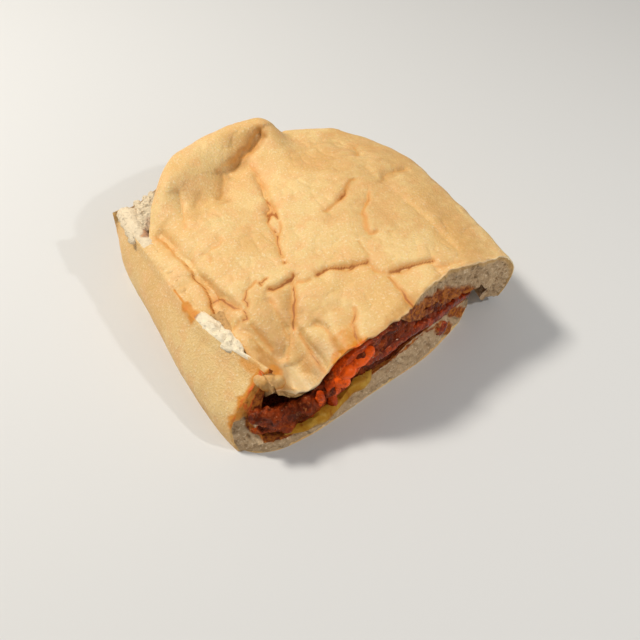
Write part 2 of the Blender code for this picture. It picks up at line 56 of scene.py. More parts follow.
# Within this of 0, s or t is on the edge of a surface; and the step in s or t over which a normal is taken
ON_EDGE = 1e-6
NORMAL_STEP = 0.004

# Outline of the roll, seen from above: a round end, given as (angle, radius), behind straight sides
END_CENTRE = np.array([1.0, 8.0])
END_RADIUS = [(0.0, 65.4), (20.0, 63.6), (50.0, 59.6), (75.0, 59.4), (95.0, 60.4), (120.0, 59.6),
              (136.0, 57.4), (180.0, 90.0)]
RIGHT_X = END_CENTRE[0] + END_RADIUS[0][1]
RIGHT_CORNER = np.radians(45.0)
LEFT_CORNER = np.radians(135.0)
CUT_LINE = [(-50.0, -69.5), (-44.0, -66.0), (-36.0, -67.5), (-20.0, -69.5), (-8.0, -69.0), (0.0, -67.5),
            (12.0, -63.5), (24.0, -59.0), (32.0, -57.3), (52.0, -57.4), (66.0, -55.5)]

# Top bread: height of the crust across the roll, at the middle of its length and at the cut
CRUST_HEIGHT = [(-60.0, 29.4), (-54.0, 31.4), (-48.0, 32.8), (-42.0, 34.0), (-20.0, 35.0), (-5.0, 36.2),
                (10.0, 37.3), (25.0, 38.4), (35.0, 38.4), (42.0, 37.8), (50.0, 36.2), (58.0, 34.0),
                (66.0, 30.4)]
CUT_HEIGHT = [(-46.0, 25.6), (-42.0, 23.6), (-36.0, 20.8), (-31.5, 20.0), (-28.0, 25.0), (-20.0, 32.0),
              (-10.0, 35.0), (0.0, 36.0), (12.0, 36.6), (25.0, 38.4), (35.0, 38.2), (42.0, 37.2),
              (50.0, 35.4), (58.0, 33.2), (66.0, 29.4)]
DROOP_START_Y = -30.0
FAR_SIDE_Y = (12.0, 40.0)
FAR_LEFT_X = (22.0, 7.0)
FAR_RIM_RISE = 6.6
FAR_RIM_INSET = (31.0, 10.0)
FAR_RIGHT_FALL = 5.0
FAR_RIGHT_Y = (12.0, 46.0)
FAR_RIGHT_X = (6.0, 24.0)
SINK_DEPTH = 2.5
SINK_CENTRE = (-10.0, 28.0)
SINK_RADII = (26.0, 14.0)

# Top bread: its left edge, as (x, y), and how its edges turn down
TOP_LEFT_EDGE = [(-45.0, -65.5), (-45.6, -56.0), (-47.2, -46.0), (-50.6, -31.0), (-54.8, -20.0),
                 (-57.4, -8.0), (-57.8, 4.0), (-57.2, 15.0), (-54.6, 25.0), (-49.0, 35.6)]
RIGHT_EDGE_Y = (-30.0, -10.0)
LEFT_SHARE = 0.09
LEFT_ANGLE = np.radians(78.0)
LEFT_INSET = 2.5
LEFT_FAR_INSET = 9.0
LEFT_FAR_PLACE = (0.72, 0.97)
FLANK_SHARE = 0.24
FLANK_INSET = 9.0
END_SHARE = 0.27
END_INSET = 17.0
SKIRT_ANGLE = np.radians(118.0)
EQUATOR_SHARE = 0.35
LEAST_EDGE = 2.4
LEAN = 0.22
LEAN_BELOW = 24.0
LEAN_X = (50.0, 58.0)
LEAN_Y = (-30.0, -50.0)
FOLDED_AWAY = -30.0
FOLDED_SHARE = 0.9

# Top bread: thickness under the crust, at the middle, at the cut and at the flanks
CRUST_THICKNESS = 5.5
CUT_THICKNESS = [(-46.0, 2.6), (-10.0, 2.6), (8.0, 3.0), (16.0, 5.0), (30.0, 10.0), (50.0, 12.0)]
CUT_THICKNESS_Y = (-38.0, -64.0)
FLANK_THICKNESS = 11.0
FLANK_THICKNESS_INSET = (28.0, 12.0)
LEFT_TAPER = 9.0

# The slit between the two breads, round the outline
SEAM_LEFT = 27.6
SEAM_END = 9.0
SEAM_CUT_RIGHT = 3.6
SEAM_TURN = np.radians((98.0, 134.0))
SEAM_TORN_Y = (-24.0, -46.0)
SEAM_TORN_X = (20.0, 40.0)

# Bottom bread: a shallow tray with a tall wall on the left, whose edges are given as (y, x)
BASE_LEFT_X = [(-75.0, -56.0), (-66.5, -59.5), (-58.0, -61.6), (-48.0, -62.8), (-38.0, -63.5), (10.0, -63.8),
               (22.0, -64.0), (33.0, -63.4), (43.0, -61.0)]
RIM_LEFT_X = [(-66.0, -46.0), (-60.0, -47.0), (-53.0, -48.4), (-43.0, -52.0), (-34.0, -54.9), (-22.0, -57.2),
              (-8.0, -58.1), (14.0, -59.6), (24.0, -61.0), (32.0, -61.6), (43.0, -61.0)]
BASE_CUT = [(-58.0, -66.5), (-55.0, -69.5), (-50.0, -71.8), (-36.0, -72.6), (-20.0, -70.0), (-5.0, -66.8),
            (5.0, -65.0), (25.0, -60.6), (35.0, -56.6), (48.0, -51.0)]
BASE_FAR_LEFT = [(-61.0, 43.0), (-52.0, 45.4), (-43.0, 50.2)]
BASE_FAR_ANGLES = np.radians((120.0, 105.0, 90.0, 75.0, 60.0, 45.0))
BASE_RIGHT = [(48.0, -51.0), (49.5, -42.0), (56.0, -28.0), (60.5, -14.0), (62.0, 8.0)]
BASE_INSET = 2.5
CUT_START_Y = -66.5
BED_START_Y = -71.6
BED_INSET = 1.5
BED_HEIGHT = [(-50.0, 6.6), (-38.0, 5.2), (-25.0, 5.8), (-12.0, 8.8), (-3.0, 9.8), (4.0, 9.0), (13.0, 12.0),
              (20.0, 13.4), (30.0, 13.0), (40.0, 11.6), (50.0, 9.5)]
BED_SLOPE = 0.45
BED_BELOW_SEAM = 1.0
WALL_SHARE = 0.24
WALL_WIDTH = 9.0
WALL_TIP_Y = -60.0
WALL_SLANT_LENGTH = 30.0
WALL_BULGE = 2.4
WALL_FAR_BULGE = 2.2
WALL_FAR_Y = (-10.0, 20.0)
WALL_END_X = -25.0
FAR_WALL_DROP = 1.4
RIM_WIDTH = [(-64.0, 1.4), (-56.0, 1.6), (-46.0, 3.0), (-38.0, 5.0), (-28.0, 6.5)]
RIM_FOOT = 3.0
RIM_SHARE = 0.14
RIM_TURN = 0.05
RIM_ANGLE = np.radians(96.0)
RIM_ABOVE_SEAM = 8.0
RIM_RISE_PLACE = (0.9, 1.0)

# Filling
BED_CLEARANCE = 1.0
FILLING_LEFT_X = -48.0
FILLING_RIGHT_X = 48.0
FILLING_RECESS = 1.6
FILLING_END_INSET = 17.0
FILLING_BORDER = 0.16
FILLING_EDGE_SHARE = 0.25
HOLLOW_HEIGHT = 15.0
HOLLOW_X = (-28.0, -34.0)
HOLLOW_Y = (-50.0, -62.0)
UNDER_CRUST = 1.2
CHEESE_THICKNESS = 1.6
CHEESE_LEFT_X = -44.0
CHEESE_RIGHT_X = 30.0
CHEESE_END_INSET = 19.0
CHEESE_RECESS = 0.6
CHEESE_WAVE = 0.7
CHEESE_WAVES = (31.0, 17.0)
SAUCE_THICKNESS = 1.8
SAUCE_LEFT_X = -27.0
SAUCE_RIGHT_X = 36.0
SAUCE_END_INSET = 23.0
SAUCE_RECESS = 1.0
SAUCE_BORDER = 0.15
SAUCE_EDGE_SHARE = 0.4
LUMP_DEPTH = 5.0
LUMP_CENTRE = (-20.0, -70.0)
LUMP_RADII = (8.0, 9.0)

# Fine shape of the crust: points on the fold, depth, half width, how much its left side stands up, and tint,
# the strength of its orange crease colour and painted shade
FOLDS = [
    # The deep fold beside the rolled left edge, its sharp bottom and its branch
    ([(-53.5, 22), (-52, 15), (-51, 9), (-49.8, 2), (-48.8, -5), (-48.2, -13), (-48, -20), (-48.6, -28),
      (-49.8, -35), (-50, -39)], 4.2, 2.4, -1.3, 0.6),
    ([(-49.6, 1), (-48.6, -6), (-48.2, -13), (-48, -20), (-48.7, -28), (-49.8, -35)], 1.4, 0.7, 0.0, 1.0),
    ([(-48, -8), (-46.8, -13), (-45.2, -19), (-43.8, -26), (-42.6, -31.5), (-40.8, -35)], 1.2, 0.7, 0.5, 0.8),
    ([(-48.5, -33), (-47, -38), (-46, -44), (-45.8, -50), (-45.3, -54)], 1.0, 1.0, 0.3, 0.4),
    # The left shoulder
    ([(-38, 32), (-38.8, 27), (-40.5, 21), (-43, 13.5)], 1.6, 1.6, 0.4, 0.4),
    ([(-29, 29), (-33, 26), (-37, 20)], 0.9, 3.0, 0.0, 0.2),
    ([(-33, 4), (-33.5, 0.5), (-36, -1), (-39, -1.7), (-41, -2.6), (-41.2, -6), (-42, -9)],
     1.0, 1.0, 0.4, 0.35),
    ([(-43, -0.8), (-41, -2.6)], 0.7, 0.7, 0.2, 0.35),
    # The step under the far rim
    ([(7, 50), (0, 46.5), (-6, 43.5), (-11, 41), (-16, 39.5)], 3.8, 2.6, -1.6, 0.6),
    ([(-16, 39), (-18.5, 34), (-21, 29), (-24.5, 24)], 1.3, 3.2, -0.4, 0.3),
    ([(20.5, 60), (20.2, 56), (19.5, 52)], 1.0, 1.2, 0.3, 0.3),
    # The long middle fold and the island beside it
    ([(-3, 42), (-3.4, 36), (-4.2, 29), (-5.2, 22), (-6.4, 16), (-7.8, 11), (-9.2, 6)], 2.4, 1.8, 0.6, 0.6),
    ([(-4.8, 24), (-6.2, 17), (-7.8, 11), (-9.3, 5), (-9.8, -1)], 1.2, 0.6, 0.2, 1.0),
    ([(-8.5, 10), (-11, 6.5), (-13.3, 2.3), (-13.7, -3), (-14, -8), (-15.4, -12), (-16.8, -15.5),
      (-17.3, -20)], 2.0, 1.3, 0.6, 0.8),
    ([(-9.8, -1), (-11.3, -4), (-13.2, -6.5)], 1.0, 0.6, 0.4, 0.6),
    ([(-17.2, -21.3), (-18.8, -23.6)], 1.4, 0.8, 0.0, 0.9),
    # The flaky lip where the folds meet
    ([(-18, -28.3), (-19.5, -30.4), (-22, -31), (-24.5, -32), (-27.5, -31.8), (-30, -30)],
     1.8, 0.9, -1.0, 0.9),
    ([(-27, -25.8), (-29.8, -27.2), (-30.8, -26.6), (-30.6, -29)], 1.2, 0.6, 0.0, 0.8),
    ([(-30.5, -24.8), (-32.5, -25.8), (-34, -26.8), (-36, -27.6), (-38, -30.8), (-39, -31.5), (-38.4, -33),
      (-39.6, -35.5)], 1.2, 0.6, 0.4, 0.7),
    ([(-42.8, -37.3), (-40.8, -38.1), (-40.9, -34.5)], 1.4, 0.8, 0.0, 0.9),
    ([(-45.8, -37.3), (-42.8, -37.1)], 0.8, 0.5, 0.3, 0.5),
    # The crack across the middle and down to the cut
    ([(-19.5, -30.5), (-18.5, -32.7), (-16.5, -34), (-13.5, -34.2)], 0.8, 0.5, 0.4, 0.5),
    ([(-13, -33.9), (-10.5, -33.2), (-8, -33), (-5.5, -33.5), (-3, -34.8), (0.5, -36.3), (2.5, -35.8),
      (5, -36.6), (7, -37.5), (9, -36.8)], 1.8, 0.9, 0.8, 1.0),
    ([(9, -36.5), (9.3, -33), (10, -29), (11.5, -26)], 0.6, 0.8, 0.3, 0.35),
    ([(7.5, -38), (8.3, -42), (9, -44.5), (10.5, -46)], 1.4, 0.8, 0.5, 0.6),
    ([(10.5, -46), (13, -46.3), (16, -46.7), (20, -47.2), (23, -48.2), (26, -49.2), (29.5, -49.7)],
     2.2, 1.3, 0.9, 1.0),
    ([(27, -51.5), (29.5, -53), (32, -52.8), (35, -53.5), (38, -54.2)], 1.2, 1.2, 0.5, 0.4),
    ([(10.5, -46), (10.6, -50), (10.7, -54), (11, -58), (11.3, -62), (11.5, -66)], 2.0, 0.9, 0.5, 0.9),
    # The right half
    ([(29, -3.5), (26.5, -6), (25, -9), (22, -11), (20.3, -12.6), (19.2, -14.2), (18.8, -17), (17.5, -19.5),
      (16.8, -22), (16.9, -25.2), (19, -25.6), (20.2, -26.8)], 1.6, 0.9, 0.6, 0.75),
    ([(21.5, -28.2), (24, -29.3)], 0.6, 0.6, 0.2, 0.4),
    ([(6, -5.8), (10, -4.6), (14, -3.3), (17, -2), (19.5, -0.5), (21, 1.5), (23, 4), (25, 5.3), (28, 5)],
     1.3, 0.9, 0.6, 0.65),
    ([(36, 19), (38.5, 22), (41, 28)], 1.6, 2.2, 0.4, 0.4),
    ([(34.8, -0.5), (37, 0.3), (39.5, 3), (43, 4.3), (47, 5), (53, 5.3)], 1.8, 1.8, 0.4, 0.35),
    ([(35.5, 12), (35.8, 6), (35.5, 1)], 0.8, 2.0, 0.2, 0.2),
    ([(37.5, -5), (39, -14), (39.4, -24), (39.6, -32), (40.4, -40), (40.8, -46), (39.5, -50)],
     0.9, 1.6, 0.3, 0.15),
    # The fan of folds that runs down to the cut
    ([(-45, -38.5), (-42.2, -44), (-40, -49), (-37.5, -54), (-35.8, -56)], 1.6, 1.4, -0.4, 0.25),
    ([(-40.8, -39.5), (-40, -43), (-38.2, -47.5), (-36.5, -51)], 0.8, 0.5, 0.3, 0.5),
    ([(-29.8, -34), (-29.9, -40), (-30.2, -46), (-31, -49.5), (-32.8, -53), (-34.6, -55.8)],
     1.5, 1.0, 0.6, 0.45),
    ([(-19.5, -32), (-21.5, -36), (-24, -40), (-26.4, -44), (-28.6, -48.8)], 1.8, 1.1, 0.8, 0.7),
    ([(-27.5, -49), (-27, -54), (-26.3, -59), (-25.8, -65), (-26, -71)], 1.4, 0.7, 0.5, 0.6),
    ([(-22, -50), (-20, -54), (-19, -57.5), (-19.8, -62), (-20.6, -69)], 1.4, 1.2, 0.5, 0.5),
    ([(-6.8, -52.5), (-9, -56.5), (-11.5, -59), (-12.3, -62), (-12.9, -66), (-14, -70)], 1.6, 0.9, 0.6, 0.75),
    ([(-34.6, -56), (-36, -61), (-37, -66)], 1.6, 1.6, -0.4, 0.3),
]
FOLD_FADE = 0.12
FOLD_LEAST = 0.3
CRACK_WIDTH = 0.75
FOLD_ROUNDS = 3
FOLD_SOFTENED = 0.12
GROOVE_SHARE = 0.62
CRACK_SHARE = 0.3
LIFT_SHARE = 1.1

# Patches of the top crust, seen from above: points on a line, half width and strength
TOP_STAINS = [
    ([(-19.0, -72.0), (-13.0, -70.5)], 4.6, 1.0),
    ([(-18.5, -69.0), (-15.5, -63.0)], 4.4, 0.34),
    ([(-17.5, -68.0), (-13.0, -55.0)], 5.0, 0.16),
    ([(-12.0, -71.0), (-4.0, -70.0), (6.0, -67.5)], 1.1, 0.7),
    ([(-24.0, -72.0), (-21.0, -66.0)], 2.2, 0.6),
    ([(-29.0, -71.0), (-33.0, -70.0)], 1.2, 0.5),
    ([(-42.5, -62.0), (-40.0, -57.5)], 3.0, 0.42),
    ([(-45.5, -52.0), (-45.2, -64.0)], 1.2, 0.45),
]
# Browner crust, and painted shade on the far rim's step, dents, furrows, a facet and the right flank
TOP_BROWN = [
    ([(-26.0, -34.0), (-25.0, -45.0)], 3.4, 0.5),
    ([(6.0, 49.0), (-1.0, 46.0), (-10.0, 41.0)], 3.2, 0.95),
    ([(-24.0, 23.0), (-17.0, 37.0)], 3.4, 0.6),
    ([(-37.0, 20.0), (-31.0, 28.0)], 3.4, 0.45),
    ([(36.0, 19.0), (41.0, 28.0)], 3.0, 0.55),
    ([(34.5, 0.5), (53.0, 5.0)], 2.6, 0.55),
    ([(46.0, -50.0), (52.0, -20.0), (52.0, 14.0), (40.0, 40.0)], 8.0, 0.5),
    ([(1.0, -66.5), (12.0, -62.5)], 4.0, 0.75),
    ([(-8.0, -69.0), (0.0, -67.5)], 3.0, 0.8),
    ([(12.0, -62.5), (26.0, -57.5), (45.0, -56.0)], 1.2, 0.5),
    ([(-41.5, -64.0), (-40.0, -56.0), (-42.5, -51.0)], 3.8, 1.0),
    ([(-30.0, -60.0), (-26.5, -70.0)], 2.0, 0.5),
    ([(-22.0, -50.0), (-12.0, -48.5)], 2.6, 0.45),
    ([(6.0, -10.0), (14.0, -8.0)], 4.0, 0.3),
    ([(26.0, -20.0), (32.0, 6.0), (24.0, 32.0)], 15.0, 0.42),
    ([(-20.0, 10.0), (-27.0, -6.0)], 4.0, 0.25),
]
TOP_WET = [
    ([(-36.0, -58.0), (-33.0, -68.0)], 4.0, 0.75),
    ([(-21.0, -66.0), (-24.0, -60.0)], 2.6, 0.4),
    ([(-28.0, -64.0), (-27.0, -69.0)], 1.6, 0.5),
]

# Patches of the bottom bread: on its wall as (y, z), on its rim and in its far left corner from above, and at
# the cut as (x, z)
WALL_STAINS = [
    ([(-65.0, 13.0), (-63.5, 19.0), (-61.0, 27.0), (-59.5, 31.0)], 3.2, 1.0),
    ([(-67.0, 5.0), (-66.5, 8.0)], 1.6, 0.9),
]
WALL_BROWN = [([(-50.0, 4.0), (-20.0, 3.0), (20.0, 3.0)], 4.0, 0.5)]
RIM_STAINS = [
    ([(-55.6, -25.4), (-56.8, -19.6)], 1.9, 0.72),
    ([(-57.4, -10.0), (-56.4, -21.0)], 0.4, 0.6),
    ([(-49.0, -51.0), (-46.8, -57.0)], 1.6, 0.35),
    ([(-56.5, 22.5), (-55.0, 26.0)], 2.0, 0.6),
]
CORNER_STAINS = [([(-55.5, 26.0), (-53.0, 29.0), (-51.0, 33.0)], 2.0, 0.4)]
CUT_STAINS = [
    ([(-58.5, 19.0), (-55.5, 25.0), (-51.0, 32.0)], 2.2, 1.0),
    ([(-51.0, 31.0), (-53.5, 20.0), (-54.0, 10.0), (-48.0, 6.2), (-38.0, 5.4)], 1.3, 0.9),
    ([(28.0, 11.0), (34.0, 7.0), (36.0, 3.0)], 2.6, 1.0),
    ([(36.0, 13.0), (44.0, 6.0), (50.0, 1.0)], 2.4, 1.0),
    ([(-26.0, 5.0), (-22.0, 9.0)], 2.2, 0.9),
    ([(-36.0, 4.6), (-20.0, 8.5), (-8.0, 11.5), (5.0, 12.5), (20.0, 15.5), (30.0, 13.0)], 0.9, 0.9),
]

# Where the crumb of the top bread is soaked at the cut: (x, z) of the upper edge
SOAKED_EDGE = [(-60.0, 40.0), (4.0, 40.0), (10.0, 36.0), (15.0, 34.5), (25.0, 32.0), (35.0, 28.0),
               (44.0, 24.0), (47.5, 18.0), (50.0, 2.0), (66.0, -6.0)]

# How low that crumb hangs, as (x, drop), and how low it hangs and how far in it reaches at the flank, by s
FLANK_HANG = [(0.68, 0.0), (0.72, 2.6), (0.78, 7.0), (0.82, 8.2), (0.88, 5.5), (0.94, 2.0), (1.0, 0.0)]
FLANK_FILL = [(0.72, 0.0), (0.76, 2.4), (0.90, 3.0), (0.96, 2.0), (1.0, 0.0)]
SOAKED_HANG = [(4.0, 0.0), (12.0, 4.6), (20.0, 7.0), (30.0, 6.4), (38.0, 5.0), (43.0, 2.4), (46.5, 0.0)]

# Layers of lumps that are added up, as (height, size, seed), and single ones as (size, seed)
FOLD_WANDER_X = [(0.6, 5.0, 21), (0.25, 2.2, 22)]
FOLD_WANDER_Y = [(0.6, 5.0, 23), (0.25, 2.2, 24)]
FOLD_UNEVEN = [(0.55, 6.0, 25)]
FOLD_SPREAD = [(0.4, 8.0, 26)]
CRUST_DENTS = [(0.62, 13.0, 3), (0.32, 6.0, 4), (0.05, 1.9, 5), (0.03, 1.05, 9)]
WRINKLE_BEND = [(1.6, 6.0, 8)]
WRINKLE_LUMPS = (5.0, 6)
WRINKLE_PLACES = (17.0, 7)
WRINKLE_DEPTH = 0.5
EDGE_BACK = 0.7
EDGE_RAGGED = [(0.55, 3.4, 27), (0.35, 1.5, 28)]
EDGE_CURL = [(0.35, 2.3, 29)]
PORE_BEND = [(0.5, 2.2, 15)]
PORE_SHARE = 0.30
PORE_UNEVEN = [(0.16, 7.0, 16)]
PORE_DEPTH = 1.6
WIDE_PORES = (2.8, 11)
SMALL_PORES = (1.5, 12)
CRUMB_ROUGH = [(0.7, 3.6, 13), (0.3, 1.5, 17)]
FRAY_HEIGHT = [(0.9, 2.6, 14), (0.6, 1.1, 18)]
FRAY_BACK = [(0.5, 1.3, 19)]
FRAY_X = (2.0, 14.0)
PATCH_EDGE = [(0.3, 3.2, 31), (0.2, 1.3, 32)]
SOAKED_RAGGED = [(1.2, 5.0, 41)]
TRAY_SKIN = [(0.16, 7.0, 51), (0.09, 2.2, 52)]
RIM_TORN = [(0.5, 2.4, 53), (0.35, 1.1, 54)]
CHEESE_TOP = [(0.4, 3.0, 71)]
CHEESE_FRONT = [(0.5, 3.0, 72)]
LAYER_FRONT = [(0.5, 3.0, 73)]
CHEESE_TONE = [(0.25, 5.0, 74)]
DROP_FINE = [(1.0, 1.9, 81), (0.7, 0.95, 82)]
POUCH_BROWN = [(0.25, 3.0, 83)]

# Crust and crumb
SKIN = 0.9
SHARP_ANGLE = math.radians(62.0)
CORE_DEPTH = 5.2
THIN_X = (10.0, 3.0)
THIN_LEFT_X = (-38.0, -30.0)
THIN_BACK = 2.4
THIN_DROP = 1.6
SLAB_LEFT_X = (-36.0, -46.0)
SLAB_LEFT_FILL = 3.0
CRUST_CELLS = (290, 286)
CRUMB_CELLS = (240, 48)
WALL_CELLS = (200, 150)
FILLING_CELLS = (220, 60)
CRUMB_LAYERS = 22
RIM_SWELL = 1.5
RIM_CRUMB_Y = [(-54.0, 0.0), (-50.0, 1.0), (-28.0, 1.0), (-24.0, 0.0), (14.0, 0.0), (18.0, 1.0)]

# The filling at the cut, as (x, z): the meat reaches up and down to these lines
MEAT_TOP = [(-53.0, 19.0), (-46.0, 18.0), (-36.0, 16.0), (-30.0, 17.5), (-24.0, 22.0), (-18.0, 27.0),
            (-10.0, 31.0), (8.0, 32.0), (14.0, 27.0), (20.0, 23.0), (28.0, 20.5), (36.0, 19.0), (46.0, 15.0)]
MEAT_FOOT = [(-53.0, 8.0), (-46.0, 7.0), (-34.0, 8.0), (-22.0, 13.0), (-8.0, 20.5), (0.0, 19.0), (8.0, 23.0),
             (20.0, 20.5), (32.0, 19.0), (46.0, 14.5)]
CHEESE_PUSH = [(-52.0, 0.0), (-40.0, 0.2), (-34.0, 1.6), (-29.0, 2.0), (-24.0, 0.4), (-20.0, 1.4),
               (-13.0, 1.8), (-8.0, 0.4), (-4.0, -4.0), (30.0, -6.0)]
CHEESE_HEAP = [(-52.0, 0.2), (-36.0, 1.2), (-31.0, 3.6), (-26.0, 2.0), (-22.0, 1.6), (-15.0, 3.2),
               (-9.0, 1.6), (-4.0, 0.2), (30.0, 0.0)]
SLAB_LIP = [(-14.0, 0.0), (-6.0, 1.2), (0.0, 2.2), (6.0, 4.4), (20.0, 3.6), (34.0, 2.2), (46.0, 0.6)]
MEAT_CHUNKS = 210
CHUNK_START_X = -52.5
CHUNK_SPAN = 98.5

# The smooth strip of sauce under the meat, as (x, z) at the cut
SAUCE_STRIP = [(-8.0, 19.5), (0.0, 18.3), (6.0, 19.6), (14.0, 20.2), (24.0, 18.8), (34.0, 17.0), (46.0, 13.2)]
STRIP_DROPS = 40
STRIP_START_X = -8.0
STRIP_LENGTH = 54.0

# Torn crumb on the wall's rim, seen from above: the middle of the strip, and its half width
RIM_CRUMB = [((-55.0, -25.0), 1.0), ((-54.3, -27.4), 1.4), ((-53.4, -30.0), 1.9), ((-51.6, -35.0), 2.4),
             ((-49.8, -40.5), 2.6), ((-48.4, -44.0), 1.9)]
CORNER_CRUMB = [((-61.0, 27.0), 1.6), ((-60.6, 33.0), 1.8), ((-60.0, 38.0), 1.8), ((-57.0, 30.0), 3.0),
                ((-57.0, 36.0), 3.0), ((-53.5, 33.0), 3.2), ((-53.0, 39.0), 3.0), ((-57.6, 23.0), 1.6),
                ((-49.5, 40.0), 3.0), ((-49.8, 34.5), 2.4), ((-46.0, 43.5), 2.4), ((-51.5, 29.5), 2.0),
                ((-51.8, 43.0), 1.6), ((-48.4, 45.2), 1.6), ((-45.2, 47.0), 1.5)]
CORNER_DROP = 1.4
TORN_STEPS = 9

# The rounded end of the pouch at the left of the cut, as drops: middle, radii and tone
POUCH_END = [((-44.6, -61.6, 24.4), (3.4, 3.2, 3.6), 0.0), ((-46.4, -59.6, 24.6), (2.4, 2.6, 2.2), 0.0),
             ((-41.6, -62.8, 23.8), (3.0, 2.4, 3.0), 0.0)]

# Colours
CRUST_PALE = (0.84, 0.58, 0.245)
# Painted highlight along the crust's torn edge at the cut
CRUST_EDGE = (0.96, 0.80, 0.52)
CRUST_GOLD = (0.79, 0.485, 0.175)
CRUST_ROSY = (0.83, 0.49, 0.195)
# Painted highlight on the highest specks of the crust's grain
CRUST_SPECK = (0.95, 0.76, 0.47)
# Painted shade in the low dimples of the crust's grain
CRUST_DIMPLE = (0.70, 0.39, 0.13)
# Browner crust, also laid as painted shade on dents, steps and the right flank
CRUST_BROWN = (0.58, 0.29, 0.075)
CRUST_WET = (0.66, 0.50, 0.28)
# Orange crease colour with painted shade along the folds, and painted shade at their bottoms
FOLD_ORANGE = (0.72, 0.31, 0.06)
FOLD_DARK = (0.44, 0.145, 0.022)
STAIN_RED = (0.74, 0.12, 0.008)
STAIN_ORANGE = (0.72, 0.28, 0.03)
# The crumb's grey and cream, darkened as if in shade: painted shade
CRUMB_GREY = (0.47, 0.305, 0.165)
CRUMB_CREAM = (0.62, 0.435, 0.25)
# Painted light: the crumb's lighter tone where it lies lit
CRUMB_PALE = (1.0, 0.88, 0.64)
# Painted highlight on the crumb's highest specks
CRUMB_SPECK = (0.86, 0.68, 0.45)
# Painted shade in the crumb's pores
CRUMB_PORE = (0.36, 0.21, 0.10)
CRUMB_RIND = (0.66, 0.40, 0.15)
SOAK_BROWN = (0.22, 0.040, 0.006)
SOAK_ORANGE = (0.54, 0.165, 0.017)
# The last tone of the meat, sauce and cheese is a painted highlight on the highest specks of their grain
MEAT_TONES = ((0.085, 0.010, 0.002), (0.24, 0.032, 0.005), (0.52, 0.10, 0.012), (0.80, 0.34, 0.10))
SAUCE_TONES = ((0.15, 0.012, 0.002), (0.44, 0.045, 0.004), (1.0, 0.12, 0.006), (1.0, 0.40, 0.12))
WET_TINT = (1.0, 0.62, 0.42, 1.0)
CHEESE_TONES = ((0.30, 0.085, 0.007), (0.46, 0.215, 0.02), (0.58, 0.345, 0.06), (0.80, 0.55, 0.20))

# Camera, light and floor, in metres
CAMERA_PLACE = Vector((-0.10777, -0.2054, 0.22968))
CAMERA_RIGHT = Vector((0.87875, -0.47701, 0.01598))
CAMERA_UP = Vector((0.34334, 0.65504, 0.67308))
CAMERA_LENS = 43.4558
CAMERA_SENSOR = 36.0

# Each light's place, size, power and colour
KEY_LIGHT = ((-0.36, 0.40, 0.68), 0.15, 6.5, (1.0, 0.955, 0.88))
FILL_LIGHT = ((0.2, -0.7, 0.45), 0.6, 0.9, (1.0, 1.0, 1.0))
GLINT_LIGHT = ((0.3, -0.35, 0.45), 0.025, 0.9, (1.0, 1.0, 1.0))
STUDIO_COLOUR = (0.84, 0.82, 0.80, 1.0)
STUDIO_STRENGTH = 0.26
FLOOR_COLOUR = (0.70, 0.70, 0.69, 1.0)
FLOOR_SIZE = 3.0


def ramp(value, start, end):
    """0 at the start and 1 at the end, level at both."""
    t = np.clip((value - start) / (end - start), 0.0, 1.0)
    return t * t * (3.0 - 2.0 * t)


def through(points, x):
    """A smooth curve through the points (x, value), level past its ends."""
    at, value = np.array(points, float).T
    slope = np.gradient(value, at)
    x = np.clip(x, at[0], at[-1])
    i = np.clip(np.searchsorted(at, x) - 1, 0, len(at) - 2)
    step = at[i + 1] - at[i]
    t = (x - at[i]) / step
    rise = t * t * (3.0 - 2.0 * t)
    ends = step * t * (1.0 - t) * ((1.0 - t) * slope[i] - t * slope[i + 1])
    return value[i] * (1.0 - rise) + value[i + 1] * rise + ends


def along(points, t):
    """A point of the smooth line through the points, for t from 0 to 1 by length."""
    points = np.array(points, float)
    lengths = np.concatenate([[0.0], np.cumsum(np.linalg.norm(np.diff(points, axis=0), axis=1))])
    lengths /= lengths[-1]
    return np.stack([through(np.stack([lengths, points[:, k]], 1), t) for k in (0, 1)], -1)


def outline_radius(angle):
    return through(END_RADIUS, np.degrees(angle))


def end_point(angle, inset):
    """A point of the round end, an inset inside its outline."""
    radius = outline_radius(angle) - inset
    return np.stack([END_CENTRE[0] + radius * np.cos(angle), END_CENTRE[1] + radius * np.sin(angle)], -1)


def corner_point(angle, inset):
    return tuple(end_point(np.array([angle]), inset)[0])


def right_corner_points(angles, inset):
    return [corner_point(angle, inset) for angle in np.radians(angles)]


def edge_inset(x, y):
    """How far a point lies inside the right and far outline."""
    back = np.maximum(y - END_CENTRE[1], 0.0)
    angle = np.arctan2(back, x - END_CENTRE[0])
    return outline_radius(angle) - np.hypot(x - END_CENTRE[0], back)


def patch(front, far, left, right, u, v):
    """A point inside four boundary curves that meet at their corners."""
    sides = (1 - v)[:, None] * front(u) + v[:, None] * far(u)
    sides += (1 - u)[:, None] * left(v) + u[:, None] * right(v)
    zero, one = np.zeros(1), np.ones(1)
    corners = ((1 - u) * (1 - v))[:, None] * front(zero) + (u * (1 - v))[:, None] * front(one)
    corners += ((1 - u) * v)[:, None] * far(zero) + (u * v)[:, None] * far(one)
    return sides - corners


def line_distance(points, x, y):
    """Distance to a line through the points, positive on its left, and the place along it from 0 to 1."""
    points = np.array(points, float)
    steps = np.diff(points, axis=0)
    lengths = np.linalg.norm(steps, axis=1)
    nearest = np.full(x.shape, np.inf)
    signed = np.zeros(x.shape)
    place = np.zeros(x.shape)
    for start, step, length, before in zip(points, steps, lengths, np.cumsum(lengths) - lengths):
        t = np.clip(((x - start[0]) * step[0] + (y - start[1]) * step[1]) / length**2, 0.0, 1.0)
        dx, dy = x - start[0] - t * step[0], y - start[1] - t * step[1]
        distance = np.hypot(dx, dy)
        closer = distance < nearest
        nearest = np.where(closer, distance, nearest)
        signed = np.where(closer, np.copysign(distance, step[0] * dy - step[1] * dx), signed)
        place = np.where(closer, (before + t * length) / lengths.sum(), place)
    return signed, place


